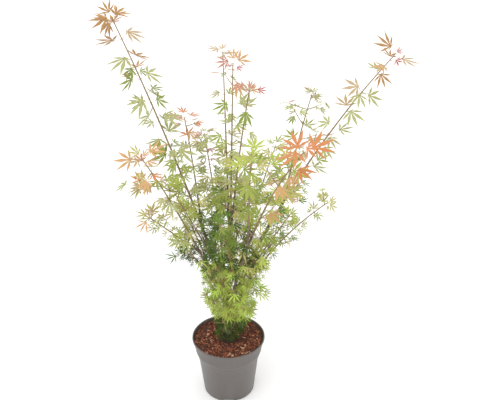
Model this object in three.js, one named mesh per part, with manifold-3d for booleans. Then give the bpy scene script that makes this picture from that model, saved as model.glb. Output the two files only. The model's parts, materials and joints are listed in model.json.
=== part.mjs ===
// A young Japanese maple with many shoots, standing in a round nursery pot, as closed solids at real size.
// Units are millimetres and +Z is up. The origin is the centre of the pot's flat underside.
// Each bough is one tapering limb, and each spray of leaves is a stem with twigs and palmate leaves fused on.
import * as THREE from "three";
import { mergeVertices } from "three/addons/utils/BufferGeometryUtils.js";
import Module from "manifold-3d";

const wasm = await Module();
wasm.setup();

// Driving sizes of the pot, its soil and the short trunk.
const pot = {
  height: 165,
  rimRadius: 95,
  collarRadius: 84.7,
  neckRadius: 78.3,
  footRadius: 67,
  collarDepth: 43,
  shoulderDepth: 62,
  lip: 2.4,
  lipStep: 1,
  lipRound: 0.8,
  lipInset: 0.6,
  wall: 2,
  floor: 3.5,
  cornerRound: 4,
  cornerStep: { inset: 1, height: 1.4 },
  sides: 32,
  drains: 3,
  drainWidth: 28,
  drainHeight: 10,
  drainDepth: 16,
  drainSlope: 2,
  drainMargin: { under: 1, outside: 4 },
};
const soil = { level: 157, edgeDrop: 3, flatRadius: 34, slopeRadius: 64, slopeDrop: 1, clearance: 0.5 };
const trunk = { height: 128, footRadius: 12.5, tipRadius: 8, flare: 9, flareHeight: 16, lean: 5 };

// Facets of the limbs, and the number of steps into which every line is sampled.
const limb = { sides: 5, steps: 3, longSteps: 5, longFrom: 0.3, trunkSides: 10, trunkSteps: 6 };
const lineSteps = 24;

// Clearances between neighbouring solids, and the smallest distances that a leaf keeps.
const seam = 0.3;
const forkGap = 0.36;
const leafClear = { soil: 4, rim: 4, rimBand: 16 };
const sharedSpace = 16;
const touchVolume = 1e-5;

// Leaf shape: lobes as angle from the middle lobe and share of its length, with the notches between them.
const lobes = { angles: [-92, -44, 0, 44, 92], lengths: [0.66, 0.92, 1, 0.92, 0.66] };
const notch = { reach: 0.3, baseAngle: 142, baseReach: 0.16 };
const leafThickness = 1.3;
const smallLeaf = 0.76;
const tipLeaf = 0.8;

// How a leaf hangs: its stalk by share of its size, its droop in degrees, and how far it bends and turns to
// the light.
const stalk = { least: 0.36, spread: 0.2, middle: 0.6 };
const droop = { least: 10, spread: 45 };
const leafBend = { most: 0.78, tilt: 0.45, toLight: 0.6, sway: 0.7, uprightBelow: 0.15 };
const leastSquare = 0.36;
const light = new THREE.Vector3(0, -0.42, 0.91);

// Stems and twigs, with the spread of sizes, angles and lengths at their nodes.
const stem = { tipRadius: 1.2, taper: 0.55, nodeHeight: 2, turn: 30, shootTurn: 37 };
const twig = { radius: 1.1, tip: 0.8, whorl: 0.62, leaf: 0.85, lean: 0.7, least: 0.9, spread: 0.5 };
const pairing = { sway: 0.5, leastLeaf: 0.84, leafSpread: 0.26, leastLean: 0.14, leanSpread: 0.36 };
const ringSpray = { forkStep: 0.03, steep: 0.08, girth: 2.3, leaf: 34, twigs: 0.6 };

// The rule of the repeatable numbers.
const chance = { start: 12345, factor: 1664525, keyStep: 40503, offset: 1013904223, span: 2 ** 32 };
const tipKey = 99;

// Limbs and shoots. A shoot leaves its parent at `fork`, a share of the parent's length, and reaches `reach`
// out and `rise` up at the compass `bearing`. `steep` bends it upright at its foot, and the first `bare`
// share is a bough. The rest is a leafy stem with pairs of leaves every `step`, where the share `twigs` of
// the sides carries a side twig.
const shoots = [
  shoot("centre_leader", "trunk", 0.97, 78, 63, 591, 0.02, 0.36, 5.4, 40, 50, 0.2),
  shoot("left_leader", "trunk", 0.86, 168, 255, 708, 0.05, 0.36, 5.2, 43, 48, 0),
  shoot("right_leader", "trunk", 0.78, 8, 380, 636, 0.1, 0.5, 5.4, 42, 50, 0),
  shoot("front_leader", "trunk", 0.7, -61, 318, 545, 0.12, 0.5, 5, 43, 46, 0.35),
  shoot("left_low", "trunk", 0.62, 209, 205, 470, 0.06, 0.5, 4.6, 41, 46, 0.35),
  shoot("right_low", "trunk", 0.5, 5, 243, 320, 0.15, 0.4, 4.4, 34, 38, 0.35),
  shoot("back_left", "trunk", 0.66, 106, 238, 400, 0.1, 0.36, 4.4, 40, 46, 0.3),
  shoot("back_right", "trunk", 0.56, 62, 259, 375, 0.1, 0.36, 4.4, 40, 46, 0.3),
  shoot("back_low", "trunk", 0.42, 84, 191, 225, 0.1, 0.3, 3.8, 36, 40, 0.5),
  shoot("side_back", "trunk", 0.46, 129, 192, 240, 0.1, 0.3, 3.8, 36, 40, 0.5),
  shoot("back_upright", "centre_leader", 0.14, 95, 193, 500, 0.1, 0.42, 3.8, 41, 50, 0.2),
  shoot("slim_upright", "centre_leader", 0.28, -56, 84, 398, 0.08, 0.36, 3.4, 39, 48, 0.25),
  shoot("left_upright", "left_leader", 0.3, 111, 115, 240, 0.1, 0.2, 3.2, 39, 42, 0.3),
  shoot("left_outer", "left_low", 0.42, 192, 112, 104, 0, 0.2, 3, 38, 38, 0.45),
  shoot("right_back", "right_leader", 0.2, 54, 162, 110, 0.15, 0.3, 3.2, 36, 38, 0.4),
  shoot("right_upright", "right_leader", 0.42, 67, 198, 216, 0.05, 0.42, 3.2, 34, 42, 0.25),
  shoot("front_upright", "front_leader", 0.4, -88, 164, 275, 0, 0.3, 3.4, 42, 42, 0.35),
  shoot("right_front", "right_low", 0.26, -38, 76, 148, 0, 0.2, 2.8, 34, 36, 0.5),
  shoot("mid_left", "left_leader", 0.16, 222, 112, 226, 0, 0.2, 3, 38, 38, 0.5),
  shoot("mid_front", "front_leader", 0.18, -104, 128, 224, 0, 0.2, 3, 38, 38, 0.5),
  shoot("mid_right", "right_leader", 0.1, -24, 128, 216, 0, 0.2, 3, 38, 38, 0.5),
  ...tier("column", 6, 0.62, 16, 96, 192, 34),
  ...tier("skirt_upper", 4, 0.42, 28, 68, 100, 30),
  ...tier("skirt_lower", 4, 0.22, -16, 44, 50, 28),
];

function shoot(name, parent, fork, bearing, reach, rise, steep, bare, girth, leaf, step, twigs) {
  return { name, parent, fork, bearing, reach, rise, steep, bare, girth, leaf, step, twigs };
}

// A ring of short leafy sprays round the trunk.
function tier(name, count, fork, firstBearing, reach, rise, step) {
  const { forkStep, steep, girth, leaf, twigs } = ringSpray;
  return Array.from({ length: count }, (_, i) => {
    const bearing = firstBearing + (360 / count) * i;
    const place = [fork + forkStep * (i % 2), bearing, reach, rise, steep];
    return shoot(`${name}_${i + 1}`, "trunk", ...place, 0, girth, leaf, step, twigs);
  });
}

const degrees = THREE.MathUtils.degToRad;
const mix = THREE.MathUtils.lerp;

// A repeatable stream of numbers from 0 to 1 for one place on the plant.
function stream(...keys) {
  const { start, factor, keyStep, offset, span } = chance;
  let state = start;
  for (const key of keys) state = (Math.imul(state, factor) + key * keyStep + offset) >>> 0;
  return () => {
    state = (Math.imul(state, factor) + offset) >>> 0;
    return ((state ^ (state >>> 15)) >>> 0) / span;
  };
}

// The line of a shoot: a curve from its foot to its tip, with a frame that stays clear of the tangent.
class Line {
  constructor(foot, middle, tip) {
    this.curve = new THREE.QuadraticBezierCurve3(foot, middle, tip);
    this.length = this.curve.getLength();
    this.samples = this.curve.getSpacedPoints(lineSteps);
  }
  at(share) {
    return this.curve.getPointAt(THREE.MathUtils.clamp(share, 0, 1));
  }
  tangent(share) {
    return this.curve.getTangentAt(THREE.MathUtils.clamp(share, 0, 1));
  }
  frame(share) {
    const along = this.tangent(share);
    const side = new THREE.Vector3().crossVectors(along, new THREE.Vector3(0, 1, 0)).normalize();
    const over = new THREE.Vector3().crossVectors(along, side);
    return { along, side, over };
  }
}

function shootLine(spec, foot) {
  const out = new THREE.Vector3(Math.cos(degrees(spec.bearing)), Math.sin(degrees(spec.bearing)), 0);
  const middle = foot
    .clone()
    .addScaledVector(out, spec.reach * (0.5 - spec.steep))
    .add(new THREE.Vector3(0, 0, spec.rise * (0.5 + spec.steep)));
  const tip = foot.clone().addScaledVector(out, spec.reach).add(new THREE.Vector3(0, 0, spec.rise));
  return new Line(foot, middle, tip);
}

// Distance from a point to a row of joined points.
function distanceTo(point, samples) {
  const segment = new THREE.Line3();
  const nearest = new THREE.Vector3();
  let best = Infinity;
  for (let i = 1; i < samples.length; i++) {
    segment.set(samples[i - 1], samples[i]);
    best = Math.min(best, segment.closestPointToPoint(point, true, nearest).distanceTo(point));
  }
  return best;
}

// Solids. A closed three.js geometry becomes a solid once its shared vertices are merged.
function solidOf(geometry) {
  const plain = geometry.clone();
  plain.deleteAttribute("normal");
  plain.deleteAttribute("uv");
  const merged = mergeVertices(plain, 1e-4);
  return new wasm.Manifold(
    new wasm.Mesh({
      numProp: 3,
      vertProperties: new Float32Array(merged.attributes.position.array),
      triVerts: new Uint32Array(merged.index.array),
    }),
  );
}

function geometryOf(solid) {
  const mesh = solid.getMesh();
  const geometry = new THREE.BufferGeometry();
  geometry.setAttribute("position", new THREE.BufferAttribute(new Float32Array(mesh.vertProperties), 3));
  geometry.setIndex(new THREE.BufferAttribute(new Uint32Array(mesh.triVerts), 1));
  geometry.computeVertexNormals();
  return geometry;
}

// The largest piece of a solid, without the scraps that a cut leaves.
function mainPiece(solid) {
  return solid.decompose().reduce((best, piece) => (piece.volume() > best.volume() ? piece : best));
}

// A round limb along a line from one share of its length to another, with its radius given at each share. It
// can be made larger on all sides by `extra`.
function limbGeometry(line, from, to, radiusAt, sides, steps, extra = 0) {
  const geometry = new THREE.CylinderGeometry(1, 1, 1, sides, steps);
  const place = geometry.attributes.position;
  for (let i = 0; i < place.count; i++) {
    const share = mix(from, to, place.getY(i) + 0.5);
    const { along, side, over } = line.frame(share);
    const radius = radiusAt(share) + extra;
    const isEnd = share === to;
    const point = line
      .at(share)
      .addScaledVector(along, isEnd ? extra : 0)
      .addScaledVector(side, place.getX(i) * radius)
      .addScaledVector(over, -place.getZ(i) * radius);
    place.setXYZ(i, point.x, point.y, point.z);
  }
  return geometry;
}

// A skin of points and outward triangles. Every part grows out of one triangle of it, so it stays closed.
class Skin {
  constructor() {
    this.points = [];
    this.faces = [];
  }
  put(points) {
    return points.map((point) => this.points.push(point) - 1);
  }
  // Three points round a place on a line, turned by an angle.
  ring(centre, side, over, radius, turn) {
    const corner = (k) => {
      const angle = turn + (2 * Math.PI * k) / 3;
      return centre
        .clone()
        .addScaledVector(side, radius * Math.cos(angle))
        .addScaledVector(over, radius * Math.sin(angle));
    };
    return this.put([corner(0), corner(1), corner(2)]);
  }
  // Joins two rings and returns the three triangles from which something may grow.
  join(lower, upper) {
    return lower.map((a, k) => {
      const b = lower[(k + 1) % 3];
      this.faces.push([a, upper[(k + 1) % 3], upper[k]]);
      return [a, b, upper[(k + 1) % 3]];
    });
  }
  close(face) {
    this.faces.push(face);
  }
  // The corners of a triangle as the right, left and lower one under a blade, and how squarely they lie.
  sides(face, { forward, normal }) {
    const across = new THREE.Vector3().crossVectors(normal, forward);
    const edge = (from, to) => this.points[to].clone().sub(this.points[from]);
    const turned = [0, 1, 2].map((k) => [face[k], face[(k + 1) % 3], face[(k + 2) % 3]]);
    const spread = ([right, left]) => edge(left, right).dot(across);
    const corners = turned.reduce((best, next) => (spread(next) > spread(best) ? next : best));
    return { corners, square: spread(corners) / edge(corners[1], corners[0]).length() };
  }
  // A palmate blade with a raised middle, whose stalk starts from the corners of one open triangle.
  leaf(face, shape, thickness) {
    const { heart, normal, outline } = shape;
    const [right, left, under] = this.sides(face, shape).corners;
    const [top, bottom] = this.put([
      heart.clone().addScaledVector(normal, thickness / 2),
      heart.clone().addScaledVector(normal, -thickness / 2),
    ]);
    const ring = [...this.put(outline), right, left];
    ring.forEach((point, i) => {
      const next = ring[(i + 1) % ring.length];
      this.faces.push([top, point, next]);
      if (point !== right) this.faces.push([bottom, next, point]);
    });
    this.faces.push([bottom, under, right], [bottom, left, under]);
  }
  geometry() {
    const corners = this.faces.flat().map((index) => this.points[index]);
    return new THREE.BufferGeometry().setFromPoints(corners);
  }
}

// The blade of a leaf without its stalk, as a closed solid.
function bladeSolid({ heart, normal, outline }, thickness) {
  const top = heart.clone().addScaledVector(normal, thickness / 2);
  const bottom = heart.clone().addScaledVector(normal, -thickness / 2);
  const corners = outline.flatMap((point, i) => {
    const next = outline[(i + 1) % outline.length];
    return [top, point, next, bottom, next, point];
  });
  return solidOf(new THREE.BufferGeometry().setFromPoints(corners));
}

// Points that stand for a leaf when its space is tested: along each lobe and down the stalk.
function leafPoints(root, { heart, outline }) {
  const tips = outline.filter((_, i) => i % 2);
  const middles = tips.map((tip) => tip.clone().lerp(heart, 0.5));
  return [heart, root.clone().lerp(heart, stalk.middle), ...tips, ...middles];
}

// The lines of the trunk and of every shoot, in the order in which they branch.
const trunkFoot = new THREE.Vector3(0, 0, soil.level + seam);
const trunkLine = new Line(
  trunkFoot,
  new THREE.Vector3(0, 0, soil.level + trunk.height / 2),
  new THREE.Vector3(trunk.lean, 0, soil.level + trunk.height),
);
const plan = new Map();
shoots.forEach((spec, index) => {
  const parent = spec.parent === "trunk" ? trunkLine : plan.get(spec.parent).line;
  const line = shootLine(spec, parent.at(spec.fork));
  const stemPoints = line.samples.slice(Math.round(spec.bare * lineSteps));
  plan.set(spec.name, { ...spec, index, line, stemPoints });
});

const trunkRadius = (share) => {
  const rise = share * trunk.height;
  return mix(trunk.footRadius, trunk.tipRadius, share) + trunk.flare * Math.exp(-rise / trunk.flareHeight);
};
const shootRadius = (spec) => (share) => mix(spec.girth, stem.tipRadius, Math.pow(share, stem.taper));

// True if the points of a leaf or twig stay above the soil and rim, and in the space of their own shoot. That
// is where its stem is the nearest one, with a narrow border that neighbours share.
function hasRoom(own, points) {
  return points.every((point) => {
    const radius = Math.hypot(point.x, point.y);
    if (point.z < soil.level + leafClear.soil) return false;
    if (radius > pot.rimRadius - leafClear.rimBand && point.z < pot.height + leafClear.rim) return false;
    const reach = distanceTo(point, own.stemPoints) - sharedSpace;
    return [...plan.values()].every((other) => other === own || distanceTo(point, other.stemPoints) > reach);
  });
}

// Solids that already hold their place, with their boxes. A new leaf or twig may touch none of them, apart
// from the wood that it grows on.
const taken = [];
function take(solid) {
  taken.push({ solid, box: solid.boundingBox() });
  return solid;
}
function isBlocked(solid, holder) {
  const box = solid.boundingBox();
  return taken.some((other) => {
    if (other.solid === holder) return false;
    const isApart = [0, 1, 2].some((k) => box.min[k] > other.box.max[k] || other.box.min[k] > box.max[k]);
    return !isApart && solid.intersect(other.solid).volume() > touchVolume;
  });
}

// A leaf that leaves a stem or twig at a point. Its stalk keeps to the direction, and its blade bends down
// from the stalk and tilts to the light.
function placeLeaf(root, direction, size, rolls) {
  const heart = root.clone().addScaledVector(direction, size * (stalk.least + stalk.spread * rolls[0]));
  const flat = new THREE.Vector3(direction.x, direction.y, 0);
  const spin = 2 * Math.PI * rolls[1];
  if (flat.length() < leafBend.uprightBelow) flat.set(Math.cos(spin), Math.sin(spin), 0);
  const fall = degrees(droop.least + droop.spread * rolls[2]);
  const level = flat.normalize().clone().multiplyScalar(Math.cos(fall));
  level.z = -Math.sin(fall);
  const hinge = new THREE.Vector3().crossVectors(direction, level).normalize();
  const bend = Math.min(direction.angleTo(level), leafBend.most);
  const forward = direction.clone().applyAxisAngle(hinge, bend);
  const across = new THREE.Vector3(-flat.y, flat.x, 0);
  const above = new THREE.Vector3().crossVectors(forward, across).normalize();
  const toLight = Math.atan2(light.dot(across), light.dot(above));
  const wanted = leafBend.toLight * toLight + leafBend.sway * (rolls[3] - 0.5);
  const tilt = THREE.MathUtils.clamp(wanted, -leafBend.tilt, leafBend.tilt);
  const normal = above.applyAxisAngle(forward, -tilt);
  const side = new THREE.Vector3().crossVectors(normal, forward);
  const inPlane = (angle, reach) =>
    heart
      .clone()
      .addScaledVector(forward, Math.cos(degrees(angle)) * reach * size)
      .addScaledVector(side, Math.sin(degrees(angle)) * reach * size);
  const outline = [inPlane(-notch.baseAngle, notch.baseReach)];
  lobes.angles.forEach((angle, i) => {
    if (i > 0) outline.push(inPlane((angle + lobes.angles[i - 1]) / 2, notch.reach));
    outline.push(inPlane(angle, lobes.lengths[i]));
  });
  outline.push(inPlane(notch.baseAngle, notch.baseReach));
  return { heart, forward, normal, outline };
}

// A spray that grows on its own skin: each leaf or twig is kept if it has room and touches nothing.
class Spray {
  constructor(own) {
    this.own = own;
    this.skin = new Skin();
    this.from = own.bare ? own.bare + (forkGap + 0.04) / own.line.length : 0;
    this.radius = shootRadius(own);
    this.nodes = Math.max(2, Math.round((own.line.length * (1 - this.from)) / own.step));
  }
  centre(face) {
    const corners = face.map((index) => this.skin.points[index]);
    return corners.reduce((sum, corner) => sum.addScaledVector(corner, 1 / 3), new THREE.Vector3());
  }
  // A ring of the stem's skin at a share of its length. It turns a twelfth of a circle from node to node.
  ring(share, node) {
    const { side, over } = this.own.line.frame(share);
    return this.skin.ring(this.own.line.at(share), side, over, this.radius(share), this.turn(node));
  }
  turn(node) {
    return degrees(stem.shootTurn * this.own.index - stem.turn * node);
  }
  share(node) {
    return mix(this.from, 1, node / this.nodes);
  }
  // The bare stem as a solid, which holds its place before any leaf grows.
  holdPlace() {
    const bare = new Spray(this.own);
    let ring = bare.ring(bare.from, 0);
    bare.skin.close([ring[0], ring[2], ring[1]]);
    for (let node = 1; node <= bare.nodes; node++) {
      const next = bare.ring(bare.share(node), node);
      bare.skin.join(ring, next).forEach((face) => bare.skin.close(face));
      ring = next;
    }
    bare.skin.close(ring);
    this.wood = take(solidOf(bare.skin.geometry()));
  }
  // A part as a closed solid of its own, with its foot on the given triangle.
  solo(face, build) {
    const skin = new Skin();
    const foot = skin.put(face.map((index) => this.skin.points[index]));
    build(skin, foot);
    skin.close([foot[0], foot[2], foot[1]]);
    return solidOf(skin.geometry());
  }
  leaf(face, direction, size, draw, holder = this.wood) {
    const root = this.centre(face);
    const rolls = Array.from({ length: 4 }, () => draw());
    const grow = (shape, thickness) => this.solo(face, (skin, foot) => skin.leaf(foot, shape, thickness));
    const thick = leafThickness + 2 * seam;
    const fits = (shape) =>
      this.skin.sides(face, shape).square > leastSquare &&
      hasRoom(this.own, leafPoints(root, shape)) &&
      !isBlocked(bladeSolid(shape, thick)) &&
      !isBlocked(grow(shape, thick), holder);
    // A leaf that finds no room is tried once more as a smaller one.
    const shape = [1, smallLeaf].map((scale) => placeLeaf(root, direction, size * scale, rolls)).find(fits);
    if (!shape) {
      this.skin.close(face);
      return;
    }
    take(grow(shape, leafThickness));
    this.skin.leaf(face, shape, leafThickness);
  }
  // A side twig with leaves round it below its end and one leaf on it, or one leaf where it has no room.
  twig(face, direction, length, size, draw) {
    const root = this.centre(face);
    const place = (share) => root.clone().addScaledVector(direction, length * share);
    const side = this.skin.points[face[0]].clone().sub(root);
    side.addScaledVector(direction, -side.dot(direction)).normalize();
    const over = new THREE.Vector3().crossVectors(direction, side);
    const tube = (skin, foot) => {
      const end = skin.ring(place(1), side, over, twig.radius + seam, 0);
      skin.join(foot, end).forEach((rest) => skin.close(rest));
      skin.close(end);
    };
    const solid = this.solo(face, tube);
    if (!hasRoom(this.own, [place(0.5), place(1)]) || isBlocked(solid, this.wood)) {
      this.leaf(face, direction, size, draw);
      return;
    }
    const wood = take(solid);
    const lower = this.skin.ring(place(twig.whorl), side, over, twig.radius, 0);
    const upper = this.skin.ring(place(twig.whorl + stem.nodeHeight / length), side, over, twig.radius, 0);
    const end = this.skin.ring(place(1), side, over, twig.radius * twig.tip, 0);
    this.skin.join(face, lower).forEach((rest) => this.skin.close(rest));
    const open = this.skin.join(lower, upper);
    this.skin.join(upper, end).forEach((rest) => this.skin.close(rest));
    this.leaf(end, direction, size, draw, wood);
    open.forEach((small, k) => {
      const angle = Math.PI / 3 + (2 * Math.PI * k) / 3;
      const out = side.clone().multiplyScalar(Math.cos(angle)).addScaledVector(over, Math.sin(angle));
      this.leaf(small, out.addScaledVector(direction, twig.lean).normalize(), size * twig.leaf, draw, wood);
    });
  }
  // Two of the three sides of a node carry a leaf or a twig each, half a turn apart.
  pair(node, open) {
    const { index, leaf, line, step, twigs } = this.own;
    const draw = stream(index, node);
    const { side, over, along } = line.frame(this.share(node));
    const spread = pairing.leastLeaf + pairing.leafSpread * draw();
    const size = leaf * spread * (node === this.nodes ? tipLeaf : 1);
    open.forEach((face, k) => {
      const place = (k - node + 3 * this.nodes) % 3;
      if (place === 2) {
        this.skin.close(face);
        return;
      }
      const middle = this.turn(node) + degrees(60 + 120 * k + (place ? 30 : -30));
      const angle = middle + pairing.sway * (draw() - 0.5);
      const out = side.clone().multiplyScalar(Math.cos(angle)).addScaledVector(over, Math.sin(angle));
      const lean = pairing.leastLean + pairing.leanSpread * draw();
      const direction = out.addScaledVector(along, lean).normalize();
      const isTwig = draw() < twigs && node < this.nodes;
      const length = step * (twig.least + twig.spread * draw());
      if (isTwig) this.twig(face, direction, length, size, draw);
      else this.leaf(face, direction, size, draw);
    });
  }
  grow() {
    const { index, leaf, line } = this.own;
    let ring = this.ring(this.from, 0);
    this.skin.close([ring[0], ring[2], ring[1]]);
    for (let node = 1; node <= this.nodes; node++) {
      const lower = this.ring(this.share(node) - stem.nodeHeight / line.length, node);
      const upper = this.ring(this.share(node), node);
      this.skin.join(ring, lower).forEach((face) => this.skin.close(face));
      this.pair(node, this.skin.join(lower, upper));
      ring = upper;
    }
    this.leaf(ring, line.tangent(1), leaf * tipLeaf, stream(index, tipKey));
    return solidOf(this.skin.geometry());
  }
}

// Builds every piece, and cuts each foot clear of what it grows from.
const scene = new THREE.Group();

function add(name, geometry, material) {
  const mesh = new THREE.Mesh(geometry, material);
  mesh.name = name;
  scene.add(mesh);
}

const finish = {
  pot: new THREE.MeshStandardMaterial({ color: 0x797572, roughness: 0.5, metalness: 0 }),
  soil: new THREE.MeshStandardMaterial({ color: 0x5d3322, roughness: 1, metalness: 0 }),
  bark: new THREE.MeshStandardMaterial({ color: 0x6e5138, roughness: 0.8, metalness: 0 }),
  leaf: new THREE.MeshStandardMaterial({ color: 0x9bb13c, roughness: 0.6, metalness: 0 }),
};

function wallRadius(height) {
  const collarFoot = pot.height - pot.collarDepth;
  const neck = pot.height - pot.shoulderDepth;
  const upTo = pot.rimRadius - pot.lipStep;
  if (height >= collarFoot) return mix(pot.collarRadius, upTo, (height - collarFoot) / pot.collarDepth);
  if (height >= neck) return mix(pot.neckRadius, pot.collarRadius, (height - neck) / (collarFoot - neck));
  return mix(pot.footRadius, pot.neckRadius, height / neck);
}

function turned(profile) {
  const points = profile.map(([radius, height]) => new THREE.Vector2(radius, height));
  return new THREE.LatheGeometry(points, pot.sides).rotateX(Math.PI / 2);
}

function potGeometry() {
  const collarFoot = pot.height - pot.collarDepth;
  const neck = pot.height - pot.shoulderDepth;
  const inner = (height) => [wallRadius(height) - pot.wall, height];
  const outer = (height) => [wallRadius(height), height];
  const shell = solidOf(
    turned([
      [0, 0],
      [pot.footRadius - pot.cornerRound, 0],
      [pot.footRadius - pot.cornerStep.inset, pot.cornerStep.height],
      outer(pot.cornerRound),
      outer(neck),
      outer(collarFoot),
      outer(pot.height - 2 * pot.lip),
      [pot.rimRadius, pot.height - pot.lip],
      [pot.rimRadius - pot.lipRound, pot.height],
      [pot.rimRadius - pot.wall - pot.lipInset, pot.height],
      inner(collarFoot),
      inner(neck),
      inner(pot.floor),
      [0, pot.floor],
    ]),
  );
  const arch = new THREE.Shape();
  const half = pot.drainWidth / 2;
  arch.moveTo(-half, -pot.drainMargin.under);
  arch.lineTo(half, -pot.drainMargin.under);
  arch.lineTo(half - pot.drainSlope, pot.drainHeight);
  arch.lineTo(pot.drainSlope - half, pot.drainHeight);
  arch.closePath();
  const depth = pot.drainDepth + pot.drainMargin.outside;
  const block = new THREE.ExtrudeGeometry(arch, { depth, bevelEnabled: false });
  let body = shell;
  for (let i = 0; i < pot.drains; i++) {
    const cutter = block
      .clone()
      .rotateX(Math.PI / 2)
      .translate(0, -(pot.footRadius - pot.drainDepth), 0)
      .rotateZ((2 * Math.PI * i) / pot.drains);
    body = body.subtract(solidOf(cutter));
  }
  return geometryOf(body);
}

function soilGeometry() {
  const gap = pot.wall + soil.clearance;
  const neck = pot.height - pot.shoulderDepth;
  const collarFoot = pot.height - pot.collarDepth;
  const side = (height) => [wallRadius(height) - gap, height];
  const edge = soil.level - soil.edgeDrop;
  return turned([
    [0, pot.drainHeight + soil.clearance],
    side(pot.drainHeight + soil.clearance),
    side(neck),
    side(collarFoot),
    side(edge),
    [soil.slopeRadius, soil.level - soil.slopeDrop],
    [soil.flatRadius, soil.level],
    [0, soil.level],
  ]);
}

add("nursery_pot", potGeometry(), finish.pot);
add("bark_soil", soilGeometry(), finish.soil);

function trunkGeometry(extra) {
  return limbGeometry(trunkLine, 0, 1, trunkRadius, limb.trunkSides, limb.trunkSteps, extra);
}
add("trunk", trunkGeometry(0), finish.bark);

const clearOf = new Map([["trunk", solidOf(trunkGeometry(forkGap))]]);

// Boughs, each cut clear of its parent and of the boughs that leave that parent before it.
const grown = [];
for (const own of plan.values()) {
  if (!own.bare) continue;
  const steps = own.bare > limb.longFrom ? limb.longSteps : limb.steps;
  const radius = shootRadius(own);
  const bough = (extra) => solidOf(limbGeometry(own.line, 0, own.bare, radius, limb.sides, steps, extra));
  let body = bough(0).subtract(clearOf.get(own.parent));
  for (const other of grown) body = body.subtract(clearOf.get(other));
  add(`bough_${own.name}`, geometryOf(mainPiece(body)), finish.bark);
  clearOf.set(own.name, bough(forkGap));
  grown.push(own.name);
}

// Leafy sprays: a stem that goes on from its bough or leaves the trunk, with twigs and leaves fused on.
const everyLimb = wasm.Manifold.union([...clearOf.values()]);
const sprays = [...plan.values()].map((own) => new Spray(own));
for (const solid of clearOf.values()) take(solid);
for (const spray of sprays) spray.holdPlace();
for (const spray of sprays) {
  const body = spray.grow().subtract(everyLimb);
  add(`leaves_${spray.own.name}`, geometryOf(mainPiece(body)), finish.leaf);
}

export default scene;
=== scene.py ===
"""A young Japanese maple with many shoots in a round nursery pot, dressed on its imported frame.

Sizes are in millimetres, as in the part's source, until a mesh is made in metres. +Z is up, the origin is the
centre of the pot's flat underside, and the camera looks along +Y from the front. The limbs, twigs and leaves
grow by the source's rule, which is then carried on to finer twigs and smaller leaves between the first ones.
"""

import json
import logging
import math
from collections.abc import Callable, Iterable, Sequence
from dataclasses import dataclass, replace
from enum import Enum, IntEnum
from typing import Any, ClassVar

import bpy
import numpy as np
from bpy.types import ColorRamp, Material, Node, NodeSocket, NodeTree, Object
from mathutils import Matrix, Quaternion, Vector, noise
from mathutils.bvhtree import BVHTree

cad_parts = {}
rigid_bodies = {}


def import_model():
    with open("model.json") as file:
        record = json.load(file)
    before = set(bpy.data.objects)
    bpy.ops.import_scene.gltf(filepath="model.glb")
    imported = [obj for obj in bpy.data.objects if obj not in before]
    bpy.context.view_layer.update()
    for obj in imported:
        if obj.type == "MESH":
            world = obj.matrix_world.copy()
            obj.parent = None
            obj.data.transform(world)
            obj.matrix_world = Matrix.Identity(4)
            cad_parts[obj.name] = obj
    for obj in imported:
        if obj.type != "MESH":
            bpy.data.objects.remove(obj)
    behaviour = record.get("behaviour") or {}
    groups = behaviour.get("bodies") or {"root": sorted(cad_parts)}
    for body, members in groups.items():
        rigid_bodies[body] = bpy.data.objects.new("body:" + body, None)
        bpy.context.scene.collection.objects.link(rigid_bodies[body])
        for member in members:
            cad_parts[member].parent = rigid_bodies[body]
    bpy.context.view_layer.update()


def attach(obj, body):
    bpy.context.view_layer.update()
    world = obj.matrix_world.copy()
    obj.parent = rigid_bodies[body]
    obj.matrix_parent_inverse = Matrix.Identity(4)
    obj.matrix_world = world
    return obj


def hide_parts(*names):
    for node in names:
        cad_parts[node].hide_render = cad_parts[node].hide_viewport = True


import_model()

LOG = logging.getLogger("potted_maple")
MM = 0.001
PER_METRE = 1000
BODY = "root"

# A least value and how far chance may add to it, a row of numbers, and the corner numbers of a face.
Spread = tuple[float, float]
Row = tuple[float, ...]
Face = tuple[int, ...]


# Plain helpers for numbers, colours and repeatable chance.


def mix(start: float, end: float, share: float) -> float:
    """Returns the value at a share of the way from start to end."""
    return start + (end - start) * share


def clamp(value: float, low: float, high: float) -> float:
    """Returns the value kept between low and high."""
    return max(low, min(high, value))


def linear(code: str) -> tuple[float, float, float, float]:
    """Turns a display colour into the linear one that shaders use.

    Args:
        code: Six hexadecimal digits, red first.

    Returns:
        Linear red, green, blue and an alpha of 1.
    """
    parts = [int(code[i : i + 2], 16) / 255 for i in (0, 2, 4)]
    red, green, blue = [p / 12.92 if p <= 0.04045 else ((p + 0.055) / 1.055) ** 2.4 for p in parts]
    return (red, green, blue, 1.0)


class Draws:
    """A repeatable stream of numbers from 0 to 1 for one place on the plant."""

    WORD = 0xFFFFFFFF
    START = 12345
    FACTOR = 1664525
    STEP = 1013904223
    KEY_FACTOR = 40503
    SHIFT = 15

    def __init__(self, *keys: int) -> None:
        """Starts the stream.

        Args:
            keys: Whole numbers that name the place, such as a shoot and a node.
        """
        self.state = self.START
        for key in keys:
            self.state = (self.state * self.FACTOR + key * self.KEY_FACTOR + self.STEP) & self.WORD

    def __call__(self) -> float:
        """Returns the next number of the stream."""
        self.state = (self.state * self.FACTOR + self.STEP) & self.WORD
        return (self.state ^ (self.state >> self.SHIFT)) / (self.WORD + 1)

    def over(self, spread: Spread) -> float:
        """Returns a value of a spread by the next number."""
        return spread[0] + spread[1] * self()


class Stream(IntEnum):
    """Numbers from which the places on one shoot are counted, so that each kind has streams of its own."""

    CHANCE = 5
    TIP = 99
    FINER = 200
    TUFT = 900
    WHORL = 1700
    LIMB = 3000


# Sizes, angles and chances. Those of the pot, the trunk and the first leaves are the source's.


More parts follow.
